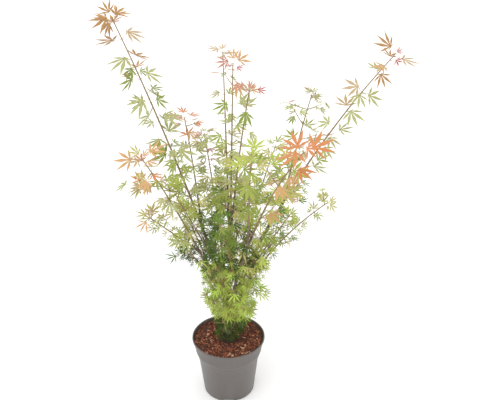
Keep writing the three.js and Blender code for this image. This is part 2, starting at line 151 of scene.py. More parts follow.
@dataclass(frozen=True)
class PotSizes:
    """Sizes of the nursery pot. Depths are measured down from the rim."""

    height: float = 165
    rim: float = 95
    collar: float = 84.7
    neck: float = 78.3
    foot: float = 67
    collar_depth: float = 43
    shoulder_depth: float = 62
    lip: float = 2.4
    lip_reach: float = 1
    wall: float = 2
    floor: float = 3.5
    corner: float = 4
    drains: int = 3
    drain_width: float = 28
    drain_height: float = 10
    drain_depth: float = 16

    def wall_radius(self, height: float) -> float:
        """Returns the outer radius of the wall at a height above the underside."""
        collar_foot = self.height - self.collar_depth
        neck = self.height - self.shoulder_depth
        if height >= collar_foot:
            return mix(self.collar, self.rim - self.lip_reach, (height - collar_foot) / self.collar_depth)
        if height >= neck:
            return mix(self.neck, self.collar, (height - neck) / (collar_foot - neck))
        return mix(self.foot, self.neck, height / neck)


@dataclass(frozen=True)
class SoilSizes:
    """Height of the bark mulch in the pot, and its gap to the wall."""

    level: float = 157
    clearance: float = 0.5


@dataclass(frozen=True)
class TrunkSizes:
    """Sizes of the short trunk, from the soil to its last fork."""

    height: float = 128
    foot: float = 12.5
    tip: float = 8
    flare: float = 9
    flare_height: float = 16
    lean: float = 5

    def radius(self, share: float) -> float:
        """Returns the trunk's radius at a share of its height."""
        flare = self.flare * math.exp(-share * self.height / self.flare_height)
        return mix(self.foot, self.tip, share) + flare


@dataclass(frozen=True)
class GrowthSizes:
    """Gaps and girths of the wood, and how leaves bend, turn, shrink and thin out.

    A turn says how far behind the axis leaves start to face the back, over what depth, and how far they then
    lean that way.
    """

    seam: float = 0.3
    fork_gap: float = 0.36
    stem_gap: float = 0.04
    limb_rows: int = 12
    taper: float = 0.55
    tip_girth: float = 1.2
    twig_girth: float = 1.1
    stalk_girth: float = 0.42
    blade_gap: float = 1.9
    most_bend: float = 1.25
    most_tilt: float = 0.8
    to_front: float = 0.62
    low_turn: Row = (0, 50, 0.55)
    high_turn: Row = (40, 160, 0)
    small_below: float = 380
    large_above: float = 660
    low_leaf: float = 0.62
    full_below: float = 480
    thin_above: float = 700
    thinnest: float = 0.1


@dataclass(frozen=True)
class RoomSizes:
    """Room that leaves keep free over the soil, over the rim and beside other shoots.

    The soil's room rises with the distance from the axis, by `cone` for leaves of the shoots and by `foot`
    for leaves on the limbs. The waist keeps the low crown slim, round a middle a little right of the axis.
    """

    first_leaves: float = 20
    cone_radii: Row = (16, 44, 80)
    cone_heights: Row = (0, 13, 72)
    over_soil: float = 4
    foot_radii: Row = (36, 80)
    foot_heights: Row = (-2, 70)
    over_rim: float = 4
    rim_band: float = 16
    shared_space: float = 16
    waist_heights: Row = (157, 200, 245, 300, 345, 395, 470, 500)
    waist_middles: Row = (18, 20, 28, 28, 24, 18, 18, 18)
    waist_radii: Row = (62, 60, 78, 104, 94, 94, 300, 900)


@dataclass(frozen=True)
class ToneSizes:
    """Where the colours and forms of leaves change, with the chance of each form.

    A name that ends in `below` is a level: a height as it shows to an eye that looks down from the front. The
    dark tints below `dark_below` and the deep tints in a column round `deep_centre`, whose half width
    `deep_edge` blurs, are painted shade. `flat_forms` is just under the number of forms that a level leaf
    may have.
    """

    look_down: float = 0.43
    dark_below: float = 226
    pale_below: float = 340
    pale_blur: float = 70
    deep_below: float = 535
    deep_centre: float = -12
    deep_half: float = 56
    deep_edge: Spread = (0.6, 0.8)
    young_chance: float = 0.6
    slender_below: float = 520
    slender_chance: float = 0.85
    hanging_slope: float = -0.45
    drooping_chance: float = 0.5
    flat_forms: float = 2.99


@dataclass(frozen=True)
class LimbLeafSizes:
    """The small leaves that grow straight from the low wood of the trunk and the boughs.

    What is named for the foot is for leaves just over the soil. After the first round, boughs get leaves in
    the dark column and at the back only.
    """

    step: float = 5
    trunk_rounds: int = 40
    limb_rounds: int = 4
    round_streams: int = 100
    back_from: float = 0.5
    grow_below: float = 600
    clothed_below: float = 520
    foot_below: float = 200
    chance: float = 0.8
    spiral: float = 2.4
    root_gap: float = 0.1
    limb_leaf: float = 28
    skirt_leaf: float = 25
    foot_leaf: float = 16
    scale: Spread = (0.8, 0.4)
    limb_stalk: Spread = (0.5, 0.8)
    foot_stalk: Spread = (0.1, 0.8)
    skirt_shift: float = 0.7
    limb_lean: Spread = (0.2, 0.4)
    foot_lean: Spread = (0.6, 0.4)
    foot_bend: float = 0.4


@dataclass(frozen=True)
class SpraySizes:
    """How a leafy stem sets its leaves and twigs, by angles in degrees, shares of lengths and chances.

    A stem has three places round it at each node, of which two carry a leaf or a twig. `tuft` gives the rings
    of leaves under a young tip, as their distance from it, their lean along the stem and their size.
    """

    shoot_turn: float = 37
    node_turn: float = 30
    places: int = 3
    first_place: float = 60
    place_turn: float = 120
    place_lean: float = 30
    leaf_scales: Row = (1, 0.76)
    key_steps: int = 1000
    tip_bend: float = 0.5
    stalk_point: float = 0.6
    crimson_scale: float = 0.6
    stalk_sag: float = -0.04
    stalk_end: float = 0.3
    stalk_root: float = 1.5
    twig_sides: int = 4
    twig_sag: float = -0.02
    twig_root: float = 1.2
    twig_tip: float = 0.6
    twig_hang: float = -0.08
    twig_length: Spread = (0.9, 0.5)
    whorl_place: float = 0.62
    whorl_turn: float = 60
    whorl_count: int = 3
    whorl_scale: float = 0.85
    whorl_foot: float = 0.6
    whorl_lean: float = 0.7
    leaf_spread: Spread = (0.84, 0.26)
    sway: float = 0.5
    root_depth: float = 0.5
    lean_spread: Spread = (0.14, 0.36)
    tip_leaf: float = 0.7
    tip_hang: float = -0.1
    tuft: tuple[Row, ...] = ((5, 0.9, 0.66), (14, 0.5, 0.84))
    tuft_count: int = 2
    tuft_streams: int = 10
    tuft_turn: float = 0.5
    tuft_sway: float = 0.3
    offsets: Row = (0.5, 0.8, 0.3)
    low_offsets: Row = (0.5, 0.25, 0.75, 0.4, 0.9, 0.1, 0.62)
    finer_streams: int = 100
    finer_turn: float = 75
    round_turn: float = 40
    finer_leaf: float = 0.8
    finer_reach: float = 0.7
    low_twigs: float = 0.5
    finer_twigs: float = 0.6
    whorl_leaf: float = 0.66
    whorl_places: Row = (0.36, 0.86)
    finer_count: int = 2


POT = PotSizes()
SOIL = SoilSizes()
TRUNK = TrunkSizes()
GROWTH = GrowthSizes()
ROOM = RoomSizes()
TONES = ToneSizes()
LIMB_LEAVES = LimbLeafSizes()
SPRAY = SpraySizes()
SAMPLES = 24


# Leaf colours. Each is plain, and a shoot deals its own out from its shaded foot to its young tip.


class Tint(Enum):
    """Leaf colours as display codes, from the shaded inner leaves to the youngest ones."""

    # DEEP and SHADE are darkened greens: painted shade for leaves inside and under the crown.
    DEEP = "3f541a"
    SHADE = "5f7a24"
    MID = "83913c"
    FRESH = "98a34a"
    LIME = "a9b54f"
    BRIGHT = "aec84f"
    SAGE = "a7aa72"
    OLIVE = "a09a66"
    YELLOW = "b3ae68"
    TAN = "b79f79"
    BRONZE = "a8804f"
    AMBER = "c39a68"
    ORANGE = "c78252"
    ROSE = "b88472"
    CRIMSON = "a84f42"


@dataclass(frozen=True)
class Palette:
    """Names of the tints that a shoot deals out along its length, and `flush` for a few leaves at its tip."""

    low: str
    middle: str
    tip: str
    middle_from: float = 0.42
    tip_from: float = 0.82
    flush: Tint | None = None

    FLUSH_FROM = 0.96
    FLUSH_CHANCE = 0.22
    BLUR = 0.16

    def pick(self, share: float, draw: Draws) -> Tint:
        """Deals one tint.

        Args:
            share: Share of the shoot's length at which the leaf grows.
            draw: Stream of the place.

        Returns:
            The tint of the leaf.
        """
        if self.flush and share > self.FLUSH_FROM and draw() < self.FLUSH_CHANCE:
            return self.flush
        place = share + self.BLUR * (draw() - 0.5)
        names = self.low if place < self.middle_from else self.middle if place < self.tip_from else self.tip
        tints = names.upper().split()
        return Tint[tints[int(draw() * len(tints))]]


GREEN_LOW = "shade mid fresh lime"
GREEN_UP = "mid fresh fresh sage"
PALE_UP = "sage fresh mid sage yellow olive"
BRONZE_TOP = Palette(GREEN_UP, "sage olive mid sage", "bronze tan amber", 0.6, 0.86, Tint.CRIMSON)
AMBER_TOP = Palette("mid olive olive sage", PALE_UP, "tan amber rose", 0.5, 0.88, Tint.CRIMSON)
FLAME_TOP = Palette(GREEN_UP, "sage fresh yellow", "amber orange tan yellow", 0.5, 0.86)
FRONT_TOP = Palette(GREEN_LOW, "lime yellow amber", "orange amber", 0.6, 0.9)
RED_TOP = Palette(GREEN_LOW, GREEN_UP, "rose sage tan", 0.5, 0.88, Tint.CRIMSON)
ROSE_TOP = Palette(GREEN_UP, PALE_UP, "rose sage olive", 0.5, 0.88)
EMBER_TOP = Palette("mid olive yellow", "yellow olive fresh", "amber tan yellow", 0.4, 0.86)
BLUSH_TOP = Palette(GREEN_UP, PALE_UP, "amber orange rose", 0.5, 0.84, Tint.CRIMSON)
DUSK_TOP = Palette("sage fresh", "sage tan sage olive", "tan amber bronze", 0.56, 0.9, Tint.CRIMSON)
LIME_TOP = Palette(GREEN_LOW, "fresh yellow mid", "lime yellow fresh")
LEAF_GREEN = Palette("deep shade mid", "shade mid fresh", "fresh lime")
# The foot, inner and column palettes are painted shade: dark greens for leaves low in front and inside the
# column.
FOOT_PAINTED_SHADE = Palette("deep", "deep", "deep shade")
INNER_PAINTED_SHADE = Palette("deep deep shade", "shade deep", "shade deep")
COLUMN_PAINTED_SHADE = Palette("deep shade", "shade deep mid", "mid shade")
SKIRT_GREEN = Palette("bright mid fresh", "bright fresh lime", "bright lime")


# The lines on which everything grows.


class Line:
    """A curved limb line, with places and frames by share of its length."""

    MEASURES = 201

    def __init__(self, foot: Vector, middle: Vector, tip: Vector) -> None:
        """Measures the curve.

        Args:
            foot: Where the line starts.
            middle: The point towards which the curve bends.
            tip: Where the line ends.
        """
        self.controls = np.array([foot, middle, tip], dtype=float)
        self.spots = np.linspace(0, 1, self.MEASURES)
        points = self._curve(self.spots)
        steps = np.linalg.norm(np.diff(points, axis=0), axis=1)
        self.lengths = np.concatenate([[0.0], np.cumsum(steps)])
        self.length = float(self.lengths[-1])
        self.samples = [self.at(i / SAMPLES) for i in range(SAMPLES + 1)]

    def _curve(self, spots: np.ndarray) -> np.ndarray:
        """Returns the points of the curve at its own parameters."""
        t = np.asarray(spots)[..., None]
        foot, middle, tip = self.controls
        return (1 - t) ** 2 * foot + 2 * t * (1 - t) * middle + t**2 * tip

    def _spot(self, share: float) -> float:
        """Returns the curve's own parameter at a share of its length."""
        return float(np.interp(clamp(share, 0, 1) * self.length, self.lengths, self.spots))

    def at(self, share: float) -> Vector:
        """Returns the point at a share of the length."""
        return Vector(self._curve(np.array(self._spot(share))))

    def tangent(self, share: float) -> Vector:
        """Returns the direction of the line at a share of its length."""
        t = self._spot(share)
        foot, middle, tip = self.controls
        return Vector((1 - t) * (middle - foot) + t * (tip - middle)).normalized()

    def frame(self, share: float) -> tuple[Vector, Vector, Vector]:
        """Returns the directions along, beside and over the line at a share of its length."""
        along = self.tangent(share)
        side = along.cross(Vector((0, 1, 0))).normalized()
        return along, side, along.cross(side)


@dataclass
class Shoot:
    """One shoot: a bough up to the share `bare`, and a leafy stem beyond it.

    It leaves its parent at `fork`, a share of the parent's length, and reaches `reach` out and `rise` up at
    the compass `bearing`. `steep` bends it upright at its foot, where its radius is `girth`. Pairs of leaves
    of the size `leaf` grow every `step`, and the share `twigs` of them are side twigs. `vigour` enlarges the
    first leaves, and `filling` thins out the finer ones. The other fields are set when it is placed.
    """

    name: str
    parent: str
    fork: float
    bearing: float
    reach: float
    rise: float
    steep: float
    bare: float
    girth: float
    leaf: float
    step: float
    twigs: float
    palette: Palette
    vigour: float = 1.15
    filling: float = 1
    index: int = 0
    line: Line | None = None
    stem: np.ndarray | None = None

    def radius(self, share: float) -> float:
        """Returns the shoot's radius at a share of its length."""
        return mix(self.girth, GROWTH.tip_girth, share**GROWTH.taper)

    def place(self, index: int, parent: Line) -> None:
        """Sets the shoot on its parent.

        Args:
            index: Number of the shoot in the order of branching.
            parent: Line of the limb that it leaves.
        """
        foot = parent.at(self.fork)
        bearing = math.radians(self.bearing)
        out = Vector((math.cos(bearing), math.sin(bearing), 0))
        middle = foot + out * self.reach * (0.5 - self.steep) + Vector((0, 0, self.rise * (0.5 + self.steep)))
        self.index = index
        self.line = Line(foot, middle, foot + out * self.reach + Vector((0, 0, self.rise)))
        self.stem = np.array(self.line.samples[round(self.bare * SAMPLES) :])


def tier(count: int, first: Shoot) -> list[Shoot]:
    """Returns a ring of short leafy sprays round the trunk, like its first one, staggered by turns."""
    stagger = 0.03
    shoots = []
    for i in range(count):
        name = f"{first.name}_{i + 1}"
        fork = first.fork + stagger * (i % 2)
        shoots.append(replace(first, name=name, fork=fork, bearing=first.bearing + 360 / count * i))
    return shoots


# Name, parent, fork, bearing, reach, rise, steep, bare, girth, leaf, step, twigs, palette, vigour, filling.
SHOOTS = [
    Shoot("centre_leader", "trunk", 0.97, 78, 63, 591, 0.02, 0.36, 5.4, 40, 50, 0.1, AMBER_TOP, 1),
    Shoot("left_leader", "trunk", 0.86, 168, 255, 708, 0.05, 0.36, 5.2, 43, 48, 0, BRONZE_TOP, 1.18, 3.5),
    Shoot("right_leader", "trunk", 0.78, 8, 380, 636, 0.1, 0.5, 5.4, 42, 50, 0, DUSK_TOP, 0.98),
    Shoot("front_leader", "trunk", 0.7, -61, 318, 545, 0.12, 0.5, 5, 43, 46, 0.3, FRONT_TOP, 1.1),
    Shoot("left_low", "trunk", 0.62, 209, 205, 470, 0.06, 0.5, 4.6, 41, 46, 0.35, FLAME_TOP, 1.05, 0.6),
    Shoot("right_low", "trunk", 0.5, 5, 243, 320, 0.15, 0.4, 4.4, 34, 38, 0.1, LIME_TOP, 0.86, 0.6),
    Shoot("back_left", "trunk", 0.66, 106, 238, 400, 0.1, 0.36, 4.4, 40, 46, 0.1, ROSE_TOP, 1),
    Shoot("back_right", "trunk", 0.56, 62, 259, 375, 0.1, 0.36, 4.4, 40, 46, 0.3, LIME_TOP, 1.12, 0.7),
    Shoot("back_low", "trunk", 0.42, 84, 191, 225, 0.1, 0.3, 3.8, 36, 40, 0.5, LEAF_GREEN),
    Shoot("side_back", "trunk", 0.46, 129, 192, 240, 0.1, 0.3, 3.8, 36, 40, 0.5, LEAF_GREEN),
    Shoot("back_upright", "centre_leader", 0.14, 95, 193, 500, 0.1, 0.42, 3.8, 41, 50, 0, EMBER_TOP, 0.85),
    Shoot("slim_upright", "centre_leader", 0.28, -56, 84, 398, 0.08, 0.36, 3.4, 39, 48, 0, AMBER_TOP, 0.95),
    Shoot("left_upright", "left_leader", 0.3, 111, 115, 240, 0.1, 0.2, 3.2, 39, 42, 0.2, BLUSH_TOP, 1, 0.6),
    Shoot("left_outer", "left_low", 0.42, 192, 112, 104, 0, 0.2, 3, 38, 38, 0.45, FLAME_TOP, 1.05, 0.5),
    Shoot("right_back", "right_leader", 0.2, 54, 162, 110, 0.15, 0.3, 3.2, 36, 38, 0, RED_TOP, 0.8, 0.2),
    Shoot(
        "right_upright", "right_leader", 0.42, 67, 198, 216, 0.05, 0.42, 3.2, 34, 42, 0.25, ROSE_TOP, 1, 0.5
    ),
    Shoot("front_upright", "front_leader", 0.4, -88, 164, 275, 0, 0.3, 3.4, 42, 42, 0.6, LIME_TOP, 1.02),
    Shoot("right_front", "right_low", 0.26, -38, 76, 148, 0, 0.2, 2.8, 34, 36, 0.2, LEAF_GREEN, 0.9, 0.2),
    Shoot("mid_left", "left_leader", 0.16, 222, 112, 226, 0, 0.2, 3, 38, 38, 0.5, LIME_TOP, 1, 0.7),
    Shoot("mid_front", "front_leader", 0.18, -104, 128, 224, 0, 0.2, 3, 38, 38, 0.5, EMBER_TOP, 0.8, 0.9),
    Shoot("mid_right", "right_leader", 0.1, -24, 128, 216, 0, 0.2, 3, 38, 38, 0.1, LEAF_GREEN, 0.8, 0.6),
    # The column's own leaves are dealt the dark greens of painted shade.
    *tier(6, Shoot("column", "trunk", 0.62, 16, 96, 192, 0.08, 0, 2.3, 34, 34, 0.6, INNER_PAINTED_SHADE, 1)),
    *tier(4, Shoot("skirt_upper", "trunk", 0.42, 28, 68, 100, 0.08, 0, 2.3, 34, 30, 0.6, SKIRT_GREEN, 1)),
    *tier(4, Shoot("skirt_lower", "trunk", 0.22, -16, 44, 50, 0.08, 0, 2.3, 34, 28, 0.6, SKIRT_GREEN, 1)),
]


# Growth: what a leaf, twig or stem is before it becomes a mesh, and the rule that sets them.


@dataclass(frozen=True)
class Blade:
    """Place of one leaf: its heart, the way its middle lobe points, its upper side and that lobe's length.

    The stalk is a share of the size, and the droop is in degrees. A direction with less than `LEAST_FLAT`
    across the light has no way of its own to lie level.
    """

    heart: Vector
    forward: Vector
    normal: Vector
    size: float

    ANGLES = (-142, -92, -68, -44, -22, 0, 22, 44, 68, 92, 142)
    REACHES = (0.1, 0.66, 0.16, 0.92, 0.16, 1, 0.16, 0.92, 0.16, 0.66, 0.1)
    STALK: ClassVar[Spread] = (0.36, 0.2)
    DROOP: ClassVar[Spread] = (-20, 60)
    LEAST_FLAT = 0.15

    @classmethod
    def placed(
        cls, root: Vector, direction: Vector, size: float, rolls: Sequence[float], bend: float = 1
    ) -> "Blade":
        """Bends a leaf level from its stalk and tilts it to the light.

        Args:
            root: Where its stalk leaves the stem or twig.
            direction: Direction of the stalk.
            size: Length of the middle lobe.
            rolls: Four numbers from 0 to 1.
            bend: How far it bends level, from 0 to 1.

        Returns:
            The placed blade.
        """
        heart = root + direction * size * (cls.STALK[0] + cls.STALK[1] * rolls[0])
        start, fade, to_back = GROWTH.low_turn if root.z < GROWTH.full_below else GROWTH.high_turn
        behind = clamp((root.y - start) / fade, 0, 1)
        face = Vector((0, mix(-GROWTH.to_front, to_back, behind), 1)).normalized()
        flat = direction - face * direction.dot(face)
        if flat.length < cls.LEAST_FLAT:
            across = Vector((math.cos(math.tau * rolls[1]), math.sin(math.tau * rolls[1]), 0))
            flat = across.cross(face)
        droop = math.radians(cls.DROOP[0] + cls.DROOP[1] * rolls[2])
        lying = flat.normalized() * math.cos(droop) - face * math.sin(droop)
        hinge = direction.cross(lying).normalized()
        forward = Quaternion(hinge, bend * min(direction.angle(lying), GROWTH.most_bend)) @ direction
        side = face.cross(forward).normalized()
        tilt = Quaternion(forward, GROWTH.most_tilt * (rolls[3] - 0.5))
        return cls(heart, forward, tilt @ forward.cross(side), size)

    def outline(self) -> list[Vector]:
        """Returns the points of the blade's outline, lobe tips and notches in turn."""
        side = self.normal.cross(self.forward)
        points = []
        for angle, reach in zip(map(math.radians, self.ANGLES), self.REACHES):
            direction = self.forward * math.cos(angle) + side * math.sin(angle)
            points.append(self.heart + direction * reach * self.size)
        return points

    def turn(self) -> Vector:
        """Returns the rotation of the blade as Euler angles."""
        side = self.normal.cross(self.forward)
        axes = Matrix((self.forward, side, self.normal)).transposed()
        return Vector(axes.to_euler("XYZ"))


class Form(Enum):
    """Ways in which a leaf holds its lobes."""

    SPREAD = 0
    BROAD = 1
    DROOPING = 2
    HANGING = 3
    YOUNG = 4
    SLENDER = 5


@dataclass(frozen=True)
class Leaf:
    """One kept leaf with its tint and form."""

    blade: Blade
    tint: Tint
    form: Form


@dataclass(frozen=True)
class Strand:
    """A thin round piece of wood or a stalk along a row of points."""

    points: tuple[Vector, ...]
    girths: Row


@dataclass(frozen=True)
class Solid:
    """A small closed shape for touch tests."""

    tree: BVHTree
    low: np.ndarray
    high: np.ndarray

    @classmethod
    def made(cls, points: Sequence[Vector], faces: Sequence[Face]) -> "Solid":
        """Builds the search tree and the box of a shape from its points and faces."""
        spots = np.array(points)
        return cls(BVHTree.FromPolygons(points, faces), spots.min(axis=0), spots.max(axis=0))


@dataclass(frozen=True)
class Rings:
    """Rings of points, numbered from `first`, which faces join. Turned faces look the other way."""

    count: int
    sides: int
    first: int = 0
    is_turned: bool = False

    def faces(self) -> list[Face]:
        """Returns the faces between the rings, ring by ring."""
        made = []
        for row in range(self.first, self.first + (self.count - 1) * self.sides, self.sides):
            for k in range(self.sides):
                a, b = row + k, row + (k + 1) % self.sides
                c, d = b + self.sides, a + self.sides
                made.append((a, d, c, b) if self.is_turned else (a, b, c, d))
        return made

    def closed(self, low: int, high: int) -> list[Face]:
        """Returns the faces, with those that close the first and the last ring to a pole each."""
        quads = self.faces()
        last = self.first + (self.count - 1) * self.sides
        made = []
        for k in range(self.sides):
            after = (k + 1) % self.sides
            ends = [(low, self.first + after, self.first + k), (last + k, last + after, high)]
            if self.is_turned:
                ends = [face[::-1] for face in ends]
            made += [ends[0], *quads[k :: self.sides], ends[1]]
        return made


def tube_solid(centres: Sequence[Vector], radii: Sequence[float], sides: int = 6) -> Solid:
    """Makes a tube for touch tests.

    Args:
        centres: Points along its middle.
        radii: Radius at each point.
        sides: Number of its sides.

    Returns:
        The tube as a solid.
    """
    points: list[Vector] = []
    along = (centres[-1] - centres[0]).normalized()
    side = along.orthogonal().normalized()
    over = along.cross(side)
    for centre, radius in zip(centres, radii):
        for k in range(sides):
            angle = math.tau * k / sides
            points.append(centre + (side * math.cos(angle) + over * math.sin(angle)) * radius)
    return Solid.made(points, Rings(len(centres), sides).faces())


class Space:
    """Who owns each place in the crown, and what already stands there."""

    CAPACITY = 8000

    def __init__(self, shoots: Sequence[Shoot]) -> None:
        """Notes the stems of all shoots.

        Args:
            shoots: Shoots that are already placed.
        """
        self.starts = np.concatenate([shoot.stem[:-1] for shoot in shoots])
        self.spans = np.concatenate([shoot.stem[1:] for shoot in shoots]) - self.starts
        self.squares = (self.spans**2).sum(axis=1)
        self.owners = np.concatenate([[shoot.index] * (len(shoot.stem) - 1) for shoot in shoots])
        self.solids: list[Solid] = []
        self.lows = np.zeros((self.CAPACITY, 3))
        self.highs = np.zeros((self.CAPACITY, 3))

    def has_room(self, owner: int, points: Sequence[Vector]) -> bool:
        """Tells whether points clear the soil and rim, and keep to their own stem but for a shared border.

        Args:
            owner: Index of the shoot that wants the place.
            points: Points of the new leaf or twig.

        Returns:
            True where all points have room.
        """
        spots = np.array(points)
        radii = np.hypot(spots[:, 0], spots[:, 1])
        floor = SOIL.level + ROOM.first_leaves + np.interp(radii, ROOM.cone_radii, ROOM.cone_heights)
        if (spots[:, 2] < floor).any():
            return False
        outside = radii > POT.rim - ROOM.rim_band
        if (outside & (spots[:, 2] < POT.height + ROOM.over_rim)).any():
            return False
        if not all(map(is_in_waist, points)):
            return False
        offsets = spots[:, None, :] - self.starts[None]
        shares = np.clip((offsets * self.spans).sum(axis=2) / self.squares, 0, 1)
        reach = np.linalg.norm(offsets - shares[..., None] * self.spans, axis=2)
        own = reach[:, self.owners == owner].min(axis=1)
        other = reach[:, self.owners != owner].min(axis=1)
        return bool((other > own - ROOM.shared_space).all())

    def take(self, solid: Solid) -> Solid:
        """Keeps a solid, so that nothing later may touch it, and returns it."""
        count = len(self.solids)
        self.lows[count] = solid.low
        self.highs[count] = solid.high
        self.solids.append(solid)
        return solid

    def is_blocked(self, solid: Solid, holder: Solid | None = None) -> bool:
        """Tells whether a solid touches what is there already.

        Args:
            solid: The new solid.
            holder: Wood that it grows on, which it may touch.

        Returns:
            True where it touches something else.
        """
        count = len(self.solids)
        apart = (self.lows[:count] > solid.high) | (self.highs[:count] < solid.low)
        for i in np.flatnonzero(~apart.any(axis=1)):
            other = self.solids[i]
            if other is not holder and other.tree.overlap(solid.tree):
                return True
        return False


def is_in_waist(spot: Vector) -> bool:
    """Tells whether a place is no farther from the stems' middle than leaves may reach at its height."""
    middle = float(np.interp(spot.z, ROOM.waist_heights, ROOM.waist_middles))
    reach = float(np.interp(spot.z, ROOM.waist_heights, ROOM.waist_radii))
    return math.hypot(spot.x - middle, spot.y) <= reach


def level(spot: Vector) -> float:
    """Returns the height at which a place shows to an eye that looks down on the plant from the front."""
    return spot.z + TONES.look_down * spot.y


class Crown:
    """Grows the whole plant by rule, as strands and leaves."""

    YOUNG_TINTS = (Tint.CRIMSON, Tint.ROSE, Tint.BRONZE)
    LEVEL_FORMS = (Form.SPREAD, Form.BROAD, Form.DROOPING)

    def __init__(self, shoots: Sequence[Shoot]) -> None:
        """Places every shoot on its parent.

        Args:
            shoots: The shoots in the order in which they branch.
        """
        foot = Vector((0, 0, SOIL.level + GROWTH.seam))
        middle = Vector((0, 0, SOIL.level + TRUNK.height / 2))
        self.trunk = Line(foot, middle, Vector((TRUNK.lean, 0, SOIL.level + TRUNK.height)))
        self.shoots = {shoot.name: shoot for shoot in shoots}
        for index, shoot in enumerate(shoots):
            parent = self.trunk if shoot.parent == "trunk" else self.shoots[shoot.parent].line
            shoot.place(index, parent)
        self.space = Space(shoots)
        self.leaves: list[Leaf] = []
        self.stems: list[Strand] = []
        self.twigs: list[Strand] = []
        self.stalks: list[Strand] = []

    def grow(self) -> None:
        """Sets the limbs and stems, then the source's leaves and twigs, then the finer ones."""
        boughs = [shoot for shoot in self.shoots.values() if shoot.bare]
        self.space.take(self._limb(self.trunk, 1, TRUNK.radius))
        for bough in boughs:
            self.space.take(self._limb(bough.line, bough.bare, bough.radius))
        sprays = [Spray(self, shoot) for shoot in self.shoots.values()]
        for spray in sprays:
            spray.hold_place()
        for spray in sprays:
            spray.grow_first()
        for spray in sprays:
            spray.grow_finer()
        for turn in range(LIMB_LEAVES.trunk_rounds):
            self.clothe(None, len(sprays) + turn)
        for bough in boughs:
            is_back = math.sin(math.radians(bough.bearing)) > LIMB_LEAVES.back_from
            for turn in range(LIMB_LEAVES.limb_rounds):
                self.clothe(bough, bough.index + LIMB_LEAVES.round_streams * turn, turn > 0 and not is_back)

    def clothe(self, bough: Shoot | None, index: int, is_inner: bool = False) -> None:
        """Grows small leaves straight from the low wood of a limb.

        Args:
            bough: The bough, or None for the trunk.
            index: Number that starts its streams.
            is_inner: Whether only the dark column's leaves grow.
        """
        line, end, radius, filling = self.trunk, 1, TRUNK.radius, 1
        if bough:
            line, end, radius, filling = bough.line, bough.bare, bough.radius, bough.filling
        count = int(line.length * end / LIMB_LEAVES.step)
        for number in range(1, count):
            draw = Draws(index, Stream.LIMB + number)
            share = end * number / count
            spot = line.at(share)
            if spot.z > LIMB_LEAVES.grow_below or draw() > LIMB_LEAVES.chance:
                continue
            if spot.z > LIMB_LEAVES.clothed_below and draw() > filling:
                continue
            if is_inner and abs(spot.x - TONES.deep_centre) > TONES.deep_half:
                continue
            along, side, over = line.frame(share)
            angle = LIMB_LEAVES.spiral * (number + index) + draw()
            out = side * math.cos(angle) + over * math.sin(angle)
            foot = spot + out * (radius(share) + GROWTH.fork_gap + LIMB_LEAVES.root_gap)
            self.keep_limb_leaf(foot, self.limb_blade(spot, foot, out, along, draw), draw)

    @staticmethod
    def limb_blade(spot: Vector, foot: Vector, out: Vector, along: Vector, draw: Draws) -> Blade:
        """Sizes and places a leaf on a limb.

        Args:
            spot: Place on the limb's line.
            foot: Where the leaf's stalk leaves the wood.
            out: Direction straight out of the wood there.
            along: Direction of the limb.
            draw: Stream of the place.

        Returns:
            The placed blade.
        """
        rule = LIMB_LEAVES
        is_foot = spot.z < rule.foot_below
        is_skirt = level(spot) < TONES.pale_below
        full = rule.skirt_leaf if is_skirt else rule.limb_leaf
        size = (rule.foot_leaf if is_foot else full) * draw.over(rule.scale)
        stalk = size * draw.over(rule.foot_stalk if is_foot else rule.limb_stalk)
        if is_skirt:
            stalk *= 1 + rule.skirt_shift * out.x
        lean = draw.over(rule.foot_lean if is_foot else rule.limb_lean)
        direction = (out + along * lean).normalized()
        rolls = [draw() for _ in range(4)]
        bend = rule.foot_bend if is_foot else 1
        return Blade.placed(foot + direction * stalk, direction, size, rolls, bend)

    def keep_limb_leaf(self, foot: Vector, blade: Blade, draw: Draws) -> None:
        """Keeps a leaf on a limb where it clears the soil, stays in the waist and touches nothing.

        Args:
            foot: Where its stalk leaves the wood.
            blade: Its place.
            draw: Stream of the place.
        """
        outline = blade.outline()
        for point in outline:
            cone = float(np.interp(point.xy.length, ROOM.foot_radii, ROOM.foot_heights))
            if point.z < SOIL.level + ROOM.over_soil + cone or not is_in_waist(point):
                return
        ring = len(outline)
        faces = [(ring, i, (i + 1) % ring) for i in range(ring)]
        solid = Solid.made([*outline, blade.heart + blade.normal, foot], [*faces, (ring, ring + 1, 0)])
        if self.space.is_blocked(solid):
            return
        self.space.take(solid)
        tint = self.palette_at(blade.heart, LIME_TOP, draw).pick(draw(), draw)
        self.leaves.append(Leaf(blade, tint, self.form_of(blade, tint, draw)))
        points = (foot, foot.lerp(blade.heart, 0.5), blade.heart)
        self.stalks.append(Strand(points, (GROWTH.stalk_girth,) * len(points)))

    @staticmethod
    def _limb(line: Line, end: float, radius: Callable[[float], float]) -> Solid:
        """Returns a limb and the gap round it, up to a share of its line, as a solid for touch tests."""
        shares = [mix(0, end, i / GROWTH.limb_rows) for i in range(GROWTH.limb_rows + 1)]
        centres = [line.at(share) for share in shares]
        return tube_solid(centres, [radius(share) + GROWTH.fork_gap for share in shares])

    @staticmethod
    def palette_at(heart: Vector, palette: Palette, draw: Draws) -> Palette:
        """Chooses the tints of a leaf: dark at the foot, pale in the skirt, deep inside the column above it.

        The dark and deep tints are painted shade.

        Args:
            heart: Place of the leaf.
            palette: The tints of its shoot.
            draw: Stream of the place.

        Returns:
            The tints to deal from.
        """
        # Painted shade: leaves low in front get the darkest greens, and those in the column above them deep
        # ones.
        shown = level(heart)
        if shown < TONES.dark_below:
            return FOOT_PAINTED_SHADE
        if shown < TONES.pale_below + TONES.pale_blur * draw():
            return SKIRT_GREEN
        aside = abs(heart.x - TONES.deep_centre) / draw.over(TONES.deep_edge)
        if shown > TONES.deep_below or aside > TONES.deep_half:
            return palette
        return INNER_PAINTED_SHADE if heart.x < TONES.deep_centre else COLUMN_PAINTED_SHADE

